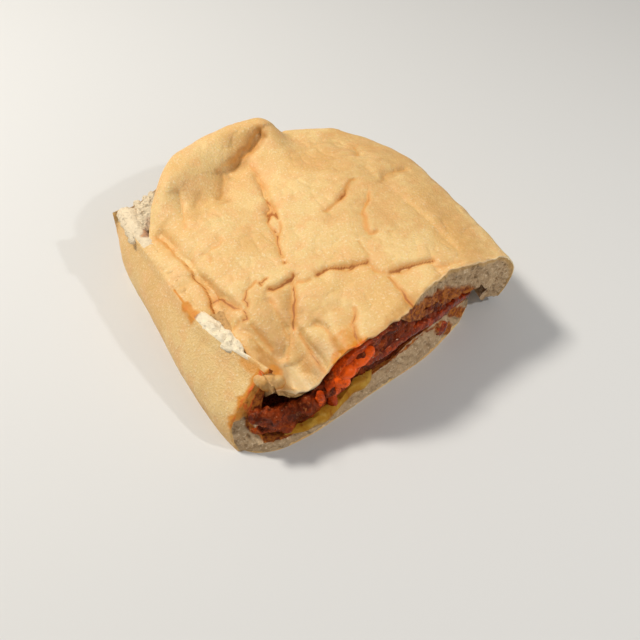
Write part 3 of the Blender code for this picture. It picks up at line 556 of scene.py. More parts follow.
def normals(surface, s, t):
    """Unit normals of a surface that is given by a function of s and t."""
    across = surface(np.minimum(s + NORMAL_STEP, 1.0), t) - surface(np.maximum(s - NORMAL_STEP, 0.0), t)
    lengthways = surface(s, np.minimum(t + NORMAL_STEP, 1.0)) - surface(s, np.maximum(t - NORMAL_STEP, 0.0))
    normal = np.cross(across, lengthways)
    return normal / np.maximum(np.linalg.norm(normal, axis=1), 1e-9)[:, None]


def mound(x, y, centre, radii):
    """A soft bump, 1 at its centre."""
    return np.exp(-(((x - centre[0]) / radii[0]) ** 2) - ((y - centre[1]) / radii[1]) ** 2)


def crust_height(x, y):
    """Height of the top crust before its edges turn down."""
    middle = through(CRUST_HEIGHT, x)
    at_cut = through(CUT_HEIGHT, x)
    droop = ramp(y, DROOP_START_Y, through(CUT_LINE, x))
    rim = FAR_RIM_RISE * ramp(edge_inset(x, y), *FAR_RIM_INSET) * ramp(y, *FAR_SIDE_Y) * ramp(x, *FAR_LEFT_X)
    fall = FAR_RIGHT_FALL * ramp(y, *FAR_RIGHT_Y) * ramp(x, *FAR_RIGHT_X)
    return middle + (at_cut - middle) * droop + rim - fall - SINK_DEPTH * mound(x, y, SINK_CENTRE, SINK_RADII)


def seam_height(x, y):
    """Height of the slit between the two breads."""
    back = np.maximum(y - END_CENTRE[1], 0.0)
    angle = np.arctan2(back, x - END_CENTRE[0])
    torn = ramp(y, *SEAM_TORN_Y) * ramp(x, *SEAM_TORN_X)
    return SEAM_END + (SEAM_LEFT - SEAM_END) * ramp(angle, *SEAM_TURN) + (SEAM_CUT_RIGHT - SEAM_END) * torn


def bed_height(x, y):
    """Height of the crumb that the filling lies on."""
    rim = seam_height(x, y) + BED_SLOPE * edge_inset(x, y) - BED_BELOW_SEAM
    return np.minimum(through(BED_HEIGHT, x), rim)


def top_left_x(y):
    """X of the left edge of the top bread at a place along the roll."""
    return through([(edge_y, edge_x) for edge_x, edge_y in TOP_LEFT_EDGE], y)


def turned_edge(s, share, inset):
    """Place across a patch whose last share turns down, and the angle that it has turned."""
    angle = np.clip((s - (1.0 - share)) / share, 0.0, 1.0) * SKIRT_ANGLE
    level = np.clip(s / (1.0 - share), 0.0, 1.0) * (1.0 - inset)
    return np.where(s < 1.0 - share, level, 1.0 - inset * (1.0 - np.sin(angle))), angle


def top_plan(u, v):
    """Plan of the top bread, for u across it and v from the cut to the far end."""

    def front(w):
        x = TOP_LEFT_EDGE[0][0] + (RIGHT_X - TOP_LEFT_EDGE[0][0]) * w
        return np.stack([x, through(CUT_LINE, x)], -1)

    def far(w):
        return end_point(LEFT_CORNER + (RIGHT_CORNER - LEFT_CORNER) * w, 0.0)

    left = [front(np.zeros(1))[0], *TOP_LEFT_EDGE[1:], corner_point(LEFT_CORNER, 0.0)]
    right = [front(np.ones(1))[0], *((RIGHT_X, y) for y in RIGHT_EDGE_Y)]
    right += right_corner_points((0.0, 15.0, 30.0, 45.0), 0.0)
    return patch(front, far, lambda w: along(left, w), lambda w: along(right, w), u, v)


def top_surface(s, t):
    """Outer face of the top bread, for s across it and t from the cut to the far end, each from 0 to 1."""
    width = RIGHT_X - TOP_LEFT_EDGE[0][0]
    v, far_angle = turned_edge(t, END_SHARE, END_INSET / width)
    flank = FLANK_INSET + (END_INSET - FLANK_INSET) * ramp(v, 0.5, 1.0)
    u, flank_angle = turned_edge(s, FLANK_SHARE, flank / width)
    left_inset = (LEFT_INSET + LEFT_FAR_INSET * ramp(v, *LEFT_FAR_PLACE)) / width
    left_angle = np.clip(1.0 - s / LEFT_SHARE, 0.0, 1.0) * LEFT_ANGLE
    u = u * (1.0 - left_inset) + left_inset * (1.0 - np.sin(left_angle) / np.sin(LEFT_ANGLE))
    x, y = top_plan(u, v).T
    crown = crust_height(x, y)
    seam = np.minimum(seam_height(x, y) + GAP, crown - LEAST_EDGE)
    height = seam + (crown - seam) * np.cos(left_angle)
    equator = seam + EQUATOR_SHARE * (height - seam)
    up = np.maximum(np.cos(far_angle), 0.0) * np.maximum(np.cos(flank_angle), 0.0)
    down = np.maximum(np.maximum(-np.cos(far_angle), -np.cos(flank_angle)), 0.0) / -np.cos(SKIRT_ANGLE)
    z = equator + (height - equator) * up - (equator - seam) * down
    lean = LEAN * np.clip(LEAN_BELOW - z, 0.0, LEAN_BELOW) * ramp(x, *LEAN_X) * ramp(y, *LEAN_Y)
    return np.stack([x, y + lean, z], -1)


def top_normals(s, t):
    """Unit normals of the top bread, turned outwards where its far right corner folds over itself."""
    normal = normals(top_surface, s, t)
    away = (normal[:, :2] * (top_surface(s, t)[:, :2] - END_CENTRE)).sum(1)
    folded = (away < FOLDED_AWAY) & (s > FOLDED_SHARE) & (t > FOLDED_SHARE)
    return np.where(folded[:, None], -normal, normal)


def top_thickness(x, y):
    body = CRUST_THICKNESS + (through(CUT_THICKNESS, x) - CRUST_THICKNESS) * ramp(y, *CUT_THICKNESS_Y)
    body = body + (FLANK_THICKNESS - body) * ramp(edge_inset(x, y), *FLANK_THICKNESS_INSET)
    return body * (0.5 + 0.5 * ramp(x - top_left_x(y), 0.0, LEFT_TAPER))


def top_inner(s, t):
    """Crumb side of the top bread, which stays above the bottom bread."""
    place = top_surface(s, t)
    thickness = top_thickness(place[:, 0], place[:, 1])
    place = place - thickness[:, None] * top_normals(s, t)
    x, y = place[:, 0], place[:, 1]
    place[:, 2] = np.maximum(place[:, 2], lined_height(x, y) + GAP)
    return place


def rim_inner_x(y):
    return through(RIM_LEFT_X, y) + through(RIM_WIDTH, y)


def bed_left_x(y):
    return through(BASE_LEFT_X, y) + WALL_WIDTH


def lined_height(x, y):
    """Height of the crumb side of the bottom bread, with the top of its wall."""
    bed = bed_height(x, y)
    climb = np.exp(-((np.maximum(x - rim_inner_x(y), 0.0) / RIM_FOOT) ** 1.5))
    return bed + np.maximum(seam_height(x, y) - bed, 0.0) * climb


def tray_plan(u, v, left_x, start_y, inset):
    """Plan of a face of the tray, for u across it and v from the cut to the far end."""
    far = [(x, y - inset) for x, y in BASE_FAR_LEFT]
    far[0] = (left_x(np.array(far[0][1])), far[0][1])
    far += [corner_point(angle, BASE_INSET + inset) for angle in BASE_FAR_ANGLES]
    right = [(x - inset, y) for x, y in BASE_RIGHT]
    right += right_corner_points((15.0, 30.0, 45.0), BASE_INSET + inset)

    def left(w):
        y = start_y + (far[0][1] - start_y) * w
        return np.stack([left_x(y), y], -1)

    def front(w):
        start = left(np.zeros(1))[0]
        x = start[0] + (right[0][0] - start[0]) * w
        return np.stack([x, through(BASE_CUT, x)], -1)

    return patch(front, lambda w: along(far, w), left, lambda w: along(right, w), u, v)


def base_edge(s):
    """Place across the tray whose last share turns up, and how far it has risen, from 0 to 1."""
    angle = np.clip((s - (1.0 - RIM_SHARE)) / RIM_SHARE, 0.0, 1.0) * RIM_ANGLE
    level = np.clip(s / (1.0 - RIM_SHARE), 0.0, 1.0) * (1.0 - RIM_TURN)
    place = np.where(s < 1.0 - RIM_SHARE, level, 1.0 - RIM_TURN * (1.0 - np.sin(angle)))
    return place, (1.0 - np.cos(angle)) / (1.0 - np.cos(RIM_ANGLE))


def slant(y, start_y, wall):
    """The wall's cut leans back from the base to its tip."""
    return y + (WALL_TIP_Y - start_y) * wall**0.8 * ramp(y, start_y + WALL_SLANT_LENGTH, start_y)


def bottom_outer(s, t):
    """Base, left wall and low far and right rims of the bottom bread."""
    wall = np.clip(1.0 - s / WALL_SHARE, 0.0, 1.0)
    u, right_rise = base_edge(np.clip((s - WALL_SHARE) / (1.0 - WALL_SHARE), 0.0, 1.0))
    v, far_rise = base_edge(t)
    x, y = tray_plan(u, v, lambda y: through(BASE_LEFT_X, y), CUT_START_Y, 0.0).T
    y = slant(y, CUT_START_Y, wall)
    seam = seam_height(x, y)
    tall_rim = seam - FAR_WALL_DROP * (1.0 - wall) ** 2
    rim = np.where(x < WALL_END_X, tall_rim, np.minimum(bed_height(x, y), seam + RIM_ABOVE_SEAM))
    z = rim * (1.0 - (1.0 - wall) * (1.0 - right_rise) * (1.0 - far_rise))
    lean = (through(RIM_LEFT_X, y) - through(BASE_LEFT_X, y)) * wall**2.2
    puff = WALL_BULGE + (WALL_FAR_BULGE - WALL_BULGE) * ramp(y, *WALL_FAR_Y)
    return np.stack([x + lean - puff * np.sin(np.pi * np.minimum(wall * 1.15, 1.0)), y, z], -1)


def bottom_inner(s, t):
    """Upper, crumb side of the bottom bread."""
    wall = np.clip(1.0 - s / WALL_SHARE, 0.0, 1.0)
    u = np.clip((s - WALL_SHARE) / (1.0 - WALL_SHARE), 0.0, 1.0)
    x, y = tray_plan(u, t, bed_left_x, BED_START_Y, BED_INSET).T
    y = slant(y, BED_START_Y, wall)
    bed = bed_height(x, y)
    tall_rim = seam_height(x, y) - GAP - FAR_WALL_DROP * (1.0 - wall) ** 2
    rim = np.where(x < WALL_END_X, np.maximum(tall_rim, bed), bed)
    z = bed + (rim - bed) * (1.0 - (1.0 - wall) * (1.0 - ramp(t, *RIM_RISE_PLACE)))
    return np.stack([x + (rim_inner_x(y) - bed_left_x(y)) * wall**1.6, y, z], -1)


def layer_plan(s, t, left_x, right_x, end_inset, recess):
    """Plan of a layer of the filling, from just behind the cut to the round end."""

    def front(w):
        x = left_x + (right_x - left_x) * w
        return np.stack([x, through(BASE_CUT, x) + recess], -1)

    def far(w):
        return end_point(LEFT_CORNER + (RIGHT_CORNER - LEFT_CORNER) * w, end_inset)

    left = [front(np.zeros(1))[0], (left_x, -30.0), (left_x, 10.0), corner_point(LEFT_CORNER, end_inset)]
    right = [front(np.ones(1))[0], (right_x, -20.0), (right_x + 1.0, 4.0)]
    right += right_corner_points((15.0, 30.0, 45.0), end_inset)
    return patch(front, far, lambda w: along(left, w), lambda w: along(right, w), s, t)


def under_crust(x, y):
    """Highest that the filling may reach under the top bread."""
    return crust_height(x, y) - top_thickness(x, y) - UNDER_CRUST


def border(s, t, width):
    """0 on the left, right and far border of a layer, and 1 inside it."""
    return ramp(s, 0.0, width) * ramp(s, 1.0, 1.0 - width) * ramp(t, 1.0, 1.0 - width)


def sauce_depth(x, y):
    return SAUCE_THICKNESS + LUMP_DEPTH * mound(x, y, LUMP_CENTRE, LUMP_RADII)


def meat_plan(s, t):
    return layer_plan(s, t, FILLING_LEFT_X, FILLING_RIGHT_X, FILLING_END_INSET, FILLING_RECESS).T


def meat_base(x, y):
    return bed_height(x, y) + BED_CLEARANCE + CHEESE_THICKNESS + 1.5 * GAP


def meat_upper(s, t):
    x, y = meat_plan(s, t)
    low = meat_base(x, y)
    high = under_crust(x, y) - sauce_depth(x, y) - 2.0 * GAP
    high = high + (HOLLOW_HEIGHT - high) * ramp(x, *HOLLOW_X) * ramp(y, *HOLLOW_Y)
    edge = FILLING_EDGE_SHARE + (1.0 - FILLING_EDGE_SHARE) * border(s, t, FILLING_BORDER)
    return np.stack([x, y, low + (np.maximum(high, low + 2.0) - low) * edge], -1)


def meat_lower(s, t):
    x, y = meat_plan(s, t)
    return np.stack([x, y, meat_base(x, y)], -1)


def cheese_face(lift):
    def face(s, t):
        x, y = layer_plan(s, t, CHEESE_LEFT_X, CHEESE_RIGHT_X, CHEESE_END_INSET, CHEESE_RECESS).T
        wave = sum(CHEESE_WAVE * np.sin(s * rate + rate) for rate in CHEESE_WAVES)
        return np.stack([x, y - wave * ramp(t, 0.12, 0.0), bed_height(x, y) + BED_CLEARANCE + lift], -1)

    return face


def sauce_face(upper):
    def face(s, t):
        x, y = layer_plan(s, t, SAUCE_LEFT_X, SAUCE_RIGHT_X, SAUCE_END_INSET, SAUCE_RECESS).T
        floor = under_crust(x, y) - sauce_depth(x, y)
        edge = SAUCE_EDGE_SHARE + (1.0 - SAUCE_EDGE_SHARE) * border(s, t, SAUCE_BORDER)
        return np.stack([x, y, floor + (sauce_depth(x, y) * edge if upper else 0.0)], -1)

    return face


def scatter(cell, seed):
    """A number from 0 to 1 for each cell of a lattice, the same in every run."""
    i, j, k = cell.astype(np.uint32).T
    mix = i * np.uint32(374761393) + j * np.uint32(668265263) + k * np.uint32(2246822519)
    mix = mix + np.uint32(seed * 40503 + 77)
    mix = (mix ^ (mix >> np.uint32(15))) * np.uint32(2654435761)
    mix = (mix ^ (mix >> np.uint32(13))) * np.uint32(1274126177)
    return ((mix ^ (mix >> np.uint32(16))) & np.uint32(0xFFFF)) / 65535.0


def lumps(points, size, seed):
    """Smooth noise from -1 to 1, with lumps of the size."""
    place = points / size
    cell = np.floor(place).astype(np.int64)
    part = place - cell
    part = part * part * (3.0 - 2.0 * part)
    total = np.zeros(len(points))
    for step in itertools.product((0, 1), repeat=3):
        weight = np.prod(np.where(step, part, 1.0 - part), axis=1)
        total += weight * scatter(cell + np.array(step), seed)
    return 2.0 * total - 1.0


def pits(points, size, seed):
    """Distance to the nearest of a scatter of points that are about the size apart, over the size."""
    place = points / size
    cell = np.floor(place).astype(np.int64)
    nearest = np.full(len(points), 9.0)
    for step in itertools.product((-1, 0, 1), repeat=3):
        near = cell + np.array(step)
        spot = near + np.stack([scatter(near, seed + k) for k in range(3)], 1)
        nearest = np.minimum(nearest, np.linalg.norm(place - spot, axis=1))
    return nearest


def heights(points, layers):
    """Layers of lumps added up, each given as (height, size, seed)."""
    return sum(height * lumps(points, size, seed) for height, size, seed in layers)


def flat_points(x, y):
    return np.stack([x, y, np.zeros(x.shape)], -1)


def fold_relief(x, y):
    """How far the folds move the crust along its normal, and its fold tint from 0 to 1: orange crease colour
    and painted shade, strongest at the bottom of a fold.
    """
    plan = flat_points(x, y)
    x = x + heights(plan, FOLD_WANDER_X)
    y = y + heights(plan, FOLD_WANDER_Y)
    total = np.zeros(x.shape)
    tint = np.zeros(x.shape)
    uneven = 1.0 + heights(plan, FOLD_UNEVEN)
    spread = 1.0 + heights(plan, FOLD_SPREAD)
    for points, depth, width, lift, strength in FOLDS:
        distance, place = line_distance(points, x, y)
        away = np.abs(distance) / spread
        fade = ramp(np.minimum(place, 1.0 - place) / FOLD_FADE + FOLD_LEAST, 0.0, 1.0)
        groove = GROOVE_SHARE * np.exp(-((away / (1.5 * width)) ** 1.3))
        crack = CRACK_SHARE * np.exp(-away / CRACK_WIDTH)
        edge = np.tanh(distance / CRACK_WIDTH) * np.exp(-away / (3.0 * width + 1.0))
        total += fade * (LIFT_SHARE * lift * edge - uneven * depth * (groove + crack))
        # Tint: orange crease colour and painted shade, strongest along the bottom of a fold
        near = 0.5 * np.exp(-((away / (1.1 * width + 0.6)) ** 2)) + 0.8 * np.exp(-((away / 0.6) ** 2))
        tint = np.maximum(tint, strength * fade * near * (0.5 + 0.5 * uneven))
    return total, tint


def swell(points):
    """Small unevenness of a soft crust: broad dents, fine wrinkles and a pebbled skin."""
    bent = points + heights(points, WRINKLE_BEND)[:, None]
    wrinkle = (1.0 - np.abs(lumps(bent, *WRINKLE_LUMPS))) ** 6
    where = ramp(lumps(points, *WRINKLE_PLACES), -0.35, 0.25)
    return heights(points, CRUST_DENTS) - WRINKLE_DEPTH * wrinkle * where


def torn_edge(points):
    """How far the torn edge of the crust stands back and curls up at the cut."""
    plan = flat_points(points[:, 0], 0.0 * points[:, 1])
    back = EDGE_BACK + heights(plan, EDGE_RAGGED)
    return np.stack([0.0 * back, back, heights(plan, EDGE_CURL)], -1)


def crust_face(depth):
    def face(s, t):
        place = top_surface(s, t)
        relief = fold_relief(place[:, 0], place[:, 1])[0] + swell(place)
        place = place + (relief - depth)[:, None] * top_normals(s, t)
        return place + torn_edge(place) * ramp(t, 0.012, 0.0)[:, None]

    return face


def crumb_core(s, t):
    """Outside of the crumb of the top bread, which hides well under the crust except at the cut."""
    at_cut = crust_face(SKIN - 0.4)(s, t)
    hidden = top_surface(s, t) - CORE_DEPTH * top_normals(s, t)
    share = ramp(t, 0.0, 0.025)[:, None]
    return at_cut + (hidden - at_cut) * share


def soaked_inner(s, t):
    """Crumb side of the top bread, hanging lower at the cut where it's soaked."""
    place = top_inner(s, t)
    place[:, 2] -= (through(SOAKED_HANG, place[:, 0]) + through(FLANK_HANG, s)) * ramp(t, 0.07, 0.0)
    place[:, 0] -= through(FLANK_FILL, s) * ramp(t, 0.07, 0.0)
    return place


def crumb_relief(points):
    """How far torn crumb stands back: ragged walls with open pores of many sizes."""
    bent = points + heights(points, PORE_BEND)[:, None]
    share = PORE_SHARE + heights(points, PORE_UNEVEN)
    wide = ramp(pits(bent, *WIDE_PORES), share + 0.1, 0.05)
    small = ramp(pits(bent, *SMALL_PORES), 0.45, 0.05)
    return PORE_DEPTH * wide + small + heights(points, CRUMB_ROUGH)


def torn_cut(depth=1.0, ragged=1.0):
    """Carves the crumb of a cut face, most in its middle, and frays its lower edge."""

    def carve(places, s, t, side):
        on_cut = t < ON_EDGE
        carved = on_cut * depth * ramp(np.minimum(side, 1.0 - side), 0.0, 0.1)
        fray = on_cut * ragged * ramp(side, 0.25, 0.0) * ramp(places[:, 0], *FRAY_X)
        move = np.zeros_like(places)
        move[:, 1] = carved * crumb_relief(places) + fray * heights(places, FRAY_BACK)
        move[:, 2] = fray * heights(places, FRAY_HEIGHT)
        return move

    return carve


def top_cut(places, s, t, side):
    """The torn cut of the top bread, which stands back where its crust lies straight on the meat."""
    move = torn_cut()(places, s, t, side)
    thin = ramp(places[:, 0], *THIN_X) * ramp(places[:, 0], *THIN_LEFT_X) * ramp(t, 0.03, 0.0)
    move[:, 1] += THIN_BACK * thin
    move[:, 2] -= THIN_DROP * thin * side
    return move


def in_metres(places):
    """Places of the drawing, in the metres of the frame."""
    return (places - MIDDLE) * MM


def closed_between(name, outer, inner, cells, coarse, layers, material, carve=None, rounds=0):
    """A closed body between an outer and an inner surface, joined all round their edges by strips of layers.

    Both start as flat grids, one above the other, whose X and Y are the s and t of the surfaces. The inner
    grid is the coarse one, so its border is divided to match.
    """
    mesh = bmesh.new()
    bmesh.ops.create_grid(mesh, x_segments=cells[0] // coarse, y_segments=cells[1] // coarse, size=0.5)
    bmesh.ops.subdivide_edges(mesh, edges=[edge for edge in mesh.edges if edge.is_boundary], cuts=coarse - 1)
    above = Matrix.Translation((0.0, 0.0, 1.0))
    bmesh.ops.create_grid(mesh, x_segments=cells[0], y_segments=cells[1], size=0.5, matrix=above)
    bmesh.ops.bridge_loops(mesh, edges=[edge for edge in mesh.edges if edge.is_boundary])
    upright = [edge for edge in mesh.edges if abs(edge.verts[0].co.z - edge.verts[1].co.z) > 0.5]
    if layers > 1:
        bmesh.ops.subdivide_edges(mesh, edges=upright, cuts=layers - 1, use_grid_fill=True)
    bmesh.ops.recalc_face_normals(mesh, faces=mesh.faces)
    bmesh.ops.triangulate(mesh, faces=[face for face in mesh.faces if len(face.verts) > 4])
    data = bpy.data.meshes.new(name)
    mesh.to_mesh(data)
    mesh.free()
    flat = np.empty(3 * len(data.vertices))
    data.vertices.foreach_get("co", flat)
    s, t, side = np.clip(flat.reshape(-1, 3) + np.array([0.5, 0.5, 0.0]), 0.0, 1.0).T
    places = outer(s, t) * side[:, None] + inner(s, t) * (1.0 - side)[:, None]
    if carve is not None:
        places = places + carve(places, s, t, side)
    data.vertices.foreach_set("co", in_metres(places).ravel())
    if signed_volume(data) < 0.0:
        data.flip_normals()
    for _ in range(rounds):
        soften(data)
    return finish_piece(name, data, material), places, (s, t, side)


def finish_piece(name, data, material):
    data.materials.append(material)
    data.shade_smooth()
    data.set_sharp_from_angle(angle=SHARP_ANGLE)
    piece = bpy.data.objects.new(name, data)
    bpy.context.scene.collection.objects.link(piece)
    return piece


def soften(data, chosen=None):
    """Takes the jagged look off steep folds, at every point or at the chosen ones."""
    mesh = bmesh.new()
    mesh.from_mesh(data)
    every = {"use_axis_x": True, "use_axis_y": True, "use_axis_z": True}
    corners = [corner for corner in mesh.verts if chosen is None or chosen[corner.index]]
    bmesh.ops.smooth_vert(mesh, verts=corners, factor=0.5, **every)
    mesh.to_mesh(data)
    mesh.free()


def signed_volume(data):
    mesh = bmesh.new()
    mesh.from_mesh(data)
    volume = mesh.calc_volume(signed=True)
    mesh.free()
    return volume


def at_cut(x, depth, z):
    """A place so far behind the cut."""
    return x, float(through(BASE_CUT, x)) + depth, z


def drop(mesh, centre, radii, seed, rough):
    """A lumpy drop, its centre and radii in the drawing's millimetres."""
    corners = bmesh.ops.create_icosphere(mesh, subdivisions=4, radius=1.0)["verts"]
    ball = np.array([corner.co for corner in corners])
    lumpy = 1.0 + rough * lumps(ball + 3.0 * seed, 0.9, seed)
    lumpy += 0.45 * rough * lumps(ball + 5.0 * seed, 0.4, seed)
    places = in_metres(np.array(centre) + ball * lumpy[:, None] * np.array(radii))
    for corner, place in zip(corners, places):
        corner.co = place


def merged(data, grain, rounds):
    """The mesh of one skin round overlapping drops, smoothed so that they run into one another."""
    holder = bpy.data.objects.new("drops", data)
    bpy.context.scene.collection.objects.link(holder)
    remesh = holder.modifiers.new("merge", "REMESH")
    remesh.mode = "VOXEL"
    remesh.voxel_size = grain * MM
    relax = holder.modifiers.new("relax", "SMOOTH")
    relax.iterations = rounds
    graph = bpy.context.evaluated_depsgraph_get()
    skin = bpy.data.meshes.new_from_object(holder.evaluated_get(graph), depsgraph=graph)
    bpy.data.objects.remove(holder)
    return skin


def drops_piece(name, drops, material, rough, grain, rounds, relief):
    """One piece of many drops run together, given as (centre, three radii, tone), with fine relief. The tone
    it gives back is darker in the relief's hollows and lighter on its bumps: painted shade and light.
    """
    mesh = bmesh.new()
    for number, (centre, radii, _) in enumerate(drops):
        drop(mesh, centre, radii, number, rough)
    data = bpy.data.meshes.new(name)
    mesh.to_mesh(data)
    mesh.free()
    data = merged(data, grain, rounds)
    data.name = name
    count = len(data.vertices)
    flat, normal = np.empty(3 * count), np.empty(3 * count)
    data.vertices.foreach_get("co", flat)
    data.vertices.foreach_get("normal", normal)
    places = flat.reshape(-1, 3) / MM + MIDDLE
    fine = relief * heights(places, DROP_FINE)
    data.vertices.foreach_set("co", flat + np.repeat(fine, 3) * normal * MM)
    weight = np.zeros(count)
    tone = np.zeros(count)
    for centre, radii, shade in drops:
        near = np.exp(-1.5 * (((places - np.array(centre)) / np.array(radii)) ** 2).sum(1)) + 1e-9
        weight += near
        tone += near * shade
    # Painted shade and light: the tone is darker in the hollows of the fine relief and lighter on its bumps
    return finish_piece(name, data, material), places, tone / weight + 0.5 * fine


def patch_share(patches, places, axes=(0, 1)):
    """How much of a ragged patch each place holds, the patches given as (line, half width, strength)."""
    across, up = places[:, axes[0]], places[:, axes[1]]
    ragged = heights(places, PATCH_EDGE)
    share = np.zeros(len(places))
    for line, width, strength in patches:
        away = np.abs(line_distance(line, across, up)[0]) / width + ragged
        share = np.maximum(share, strength * ramp(away, 1.35, 0.35))
    return share


def paint(piece, **shares):
    """Stores values from 0 to 1 at the points of a piece, for its material to read."""
    level = np.zeros(len(piece.data.vertices))
    for name, values in shares.items():
        layer = piece.data.attributes.new(name, "FLOAT", "POINT")
        layer.data.foreach_set("value", np.clip(level + values, 0.0, 1.0))


def set_on(piece, node):
    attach(piece, "root")
    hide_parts(node)


def feed(tree, socket, value):
    """Links a socket to one of another node, or sets it."""
    if isinstance(value, bpy.types.NodeSocket):
        tree.links.new(value, socket)
    else:
        socket.default_value = value


def made(tree, kind, inputs=None, **settings):
    """A node with its settings, and its inputs linked or set by name or number."""
    node = tree.nodes.new(kind)
    for key, value in settings.items():
        setattr(node, key, value)
    for key, value in (inputs or {}).items():
        feed(tree, node.inputs[key], value)
    return node


def painted(tree, name):
    return made(tree, "ShaderNodeAttribute", attribute_name=name).outputs["Fac"]


def place_in_mm(tree):
    """Object coordinates in millimetres."""
    place = made(tree, "ShaderNodeTexCoord").outputs["Object"]
    scaled = made(tree, "ShaderNodeVectorMath", {0: place, 3: 1.0 / MM}, operation="SCALE")
    return scaled.outputs["Vector"]


def noise(tree, place, size, detail=2.0, roughness=0.5):
    settings = {"Vector": place, "Scale": 1.0 / size, "Detail": detail, "Roughness": roughness}
    return made(tree, "ShaderNodeTexNoise", settings).outputs["Fac"]


def reach(tree, value, start, end):
    """0 at the start and 1 at the end, level at both."""
    settings = {"Value": value, "From Min": start, "From Max": end}
    return made(tree, "ShaderNodeMapRange", settings, interpolation_type="SMOOTHSTEP").outputs["Result"]


def blend(tree, share, under, over):
    """A colour that goes from one to the other by the share."""
    node = made(tree, "ShaderNodeMix", data_type="RGBA")
    for name, value in {"Factor": share, "A": under, "B": over}.items():
        socket = next(s for s in node.inputs if s.name == name and s.enabled)
        feed(tree, socket, (*value, 1.0) if isinstance(value, tuple) else value)
    return next(s for s in node.outputs if s.enabled)


def tinted(tree, colour, tints):
    """A colour under a stack of tints, each given as (share, colour)."""
    for share, tint in tints:
        colour = blend(tree, share, colour, tint)
    return colour


def maths(tree, operation, first, second):
    return made(tree, "ShaderNodeMath", {0: first, 1: second}, operation=operation).outputs["Value"]


def times(tree, first, second):
    return maths(tree, "MULTIPLY", first, second)


def new_material(name):
    """A material, its tree and its Principled shader."""
    material = bpy.data.materials.new(name)
    material.use_nodes = True
    return material, material.node_tree, material.node_tree.nodes["Principled BSDF"]


def wire(tree, shader, **sockets):
    for key, value in sockets.items():
        feed(tree, shader.inputs[key.replace("_", " ")], value)


def bump(tree, height, depth):
    """A normal from a height of 0 to 1 that stands for so many millimetres."""
    settings = {"Height": height, "Distance": depth * MM, "Strength": 1.0}
    return made(tree, "ShaderNodeBump", settings).outputs["Normal"]


def new_group(name, places, shares, outputs):
    """A node group with named inputs and outputs, and the nodes at its two ends."""
    tree = bpy.data.node_groups.new(name, "ShaderNodeTree")
    for label in places:
        tree.interface.new_socket(label, in_out="INPUT", socket_type="NodeSocketVector")
    for label, value in shares.items():
        socket = tree.interface.new_socket(label, in_out="INPUT", socket_type="NodeSocketFloat")
        socket.default_value = value
    for label, kind in outputs.items():
        tree.interface.new_socket(label, in_out="OUTPUT", socket_type=kind)
    return tree, tree.nodes.new("NodeGroupInput").outputs, tree.nodes.new("NodeGroupOutput").inputs


def use_group(tree, group, **links):
    node = tree.nodes.new("ShaderNodeGroup")
    node.node_tree = group
    for key, value in links.items():
        feed(tree, node.inputs[key], value)
    return node.outputs


def grain_group():
    """Fine grain of a food's surface: a height, and a mask of its highest specks, where the materials paint
    highlights.
    """
    outputs = {"Height": "NodeSocketFloat", "Speck": "NodeSocketFloat"}
    tree, given, out = new_group("fine grain", ["Place"], {"Size": 1.0, "Specks": 0.62}, outputs)
    scale = maths(tree, "DIVIDE", 1.0, given["Size"])
    settings = {"Vector": given["Place"], "Scale": scale, "Detail": 3.0, "Roughness": 0.62}
    height = made(tree, "ShaderNodeTexNoise", settings).outputs["Fac"]
    top = maths(tree, "ADD", given["Specks"], 0.12)
    mask = made(tree, "ShaderNodeMapRange", {"Value": height, "From Min": given["Specks"], "From Max": top})
    tree.links.new(height, out["Height"])
    tree.links.new(mask.outputs["Result"], out["Speck"])
    return tree


def crust_group(grain):
    """Golden crust: its colour and height from how folded, stained, browned and shaded, wet and near the torn
    edge it is, with painted highlights on its specks and torn edge and painted shade in its dimples and
    creases.
    """
    shares = dict.fromkeys(("Fold", "Stain", "Brown", "Wet", "Edge"), 0.0)
    outputs = {"Color": "NodeSocketColor", "Height": "NodeSocketFloat"}
    tree, given, out = new_group("golden crust", ["Place"], shares, outputs)
    place = given["Place"]
    fine = use_group(tree, grain, Place=place, Size=0.85, Specks=0.55)
    ragged = reach(tree, noise(tree, place, 3.0, 3.0, 0.6), 0.25, 0.7)
    uneven = times(tree, given["Stain"], reach(tree, ragged, -1.2, 1.0))
    colour = blend(tree, reach(tree, noise(tree, place, 24.0), 0.38, 0.64), CRUST_PALE, CRUST_GOLD)
    colour = tinted(tree, colour, [
        (times(tree, reach(tree, noise(tree, place, 7.0), 0.42, 0.68), 0.85), CRUST_ROSY),
        # Painted highlight on the grain's highest specks
        (times(tree, fine["Speck"], 0.6), CRUST_SPECK),
        # Painted shade in the grain's low dimples
        (times(tree, reach(tree, fine["Height"], 0.44, 0.28), 0.5), CRUST_DIMPLE),
        # Painted highlight along the torn edge
        (times(tree, given["Edge"], 0.8), CRUST_EDGE),
        # Browner crust and painted shade
        (times(tree, given["Brown"], reach(tree, ragged, -0.8, 1.0)), CRUST_BROWN),
        # Orange crease colour with painted shade, and painted shade at the bottom of a fold
        (times(tree, reach(tree, given["Fold"], 0.05, 0.75), 0.72), FOLD_ORANGE),
        (reach(tree, given["Fold"], 0.72, 1.0), FOLD_DARK),
        (times(tree, given["Wet"], 0.8), CRUST_WET),
        (reach(tree, uneven, 0.0, 0.5), STAIN_ORANGE),
        (reach(tree, uneven, 0.55, 1.0), STAIN_RED),
    ])
    tree.links.new(colour, out["Color"])
    tree.links.new(fine["Height"], out["Height"])
    return tree


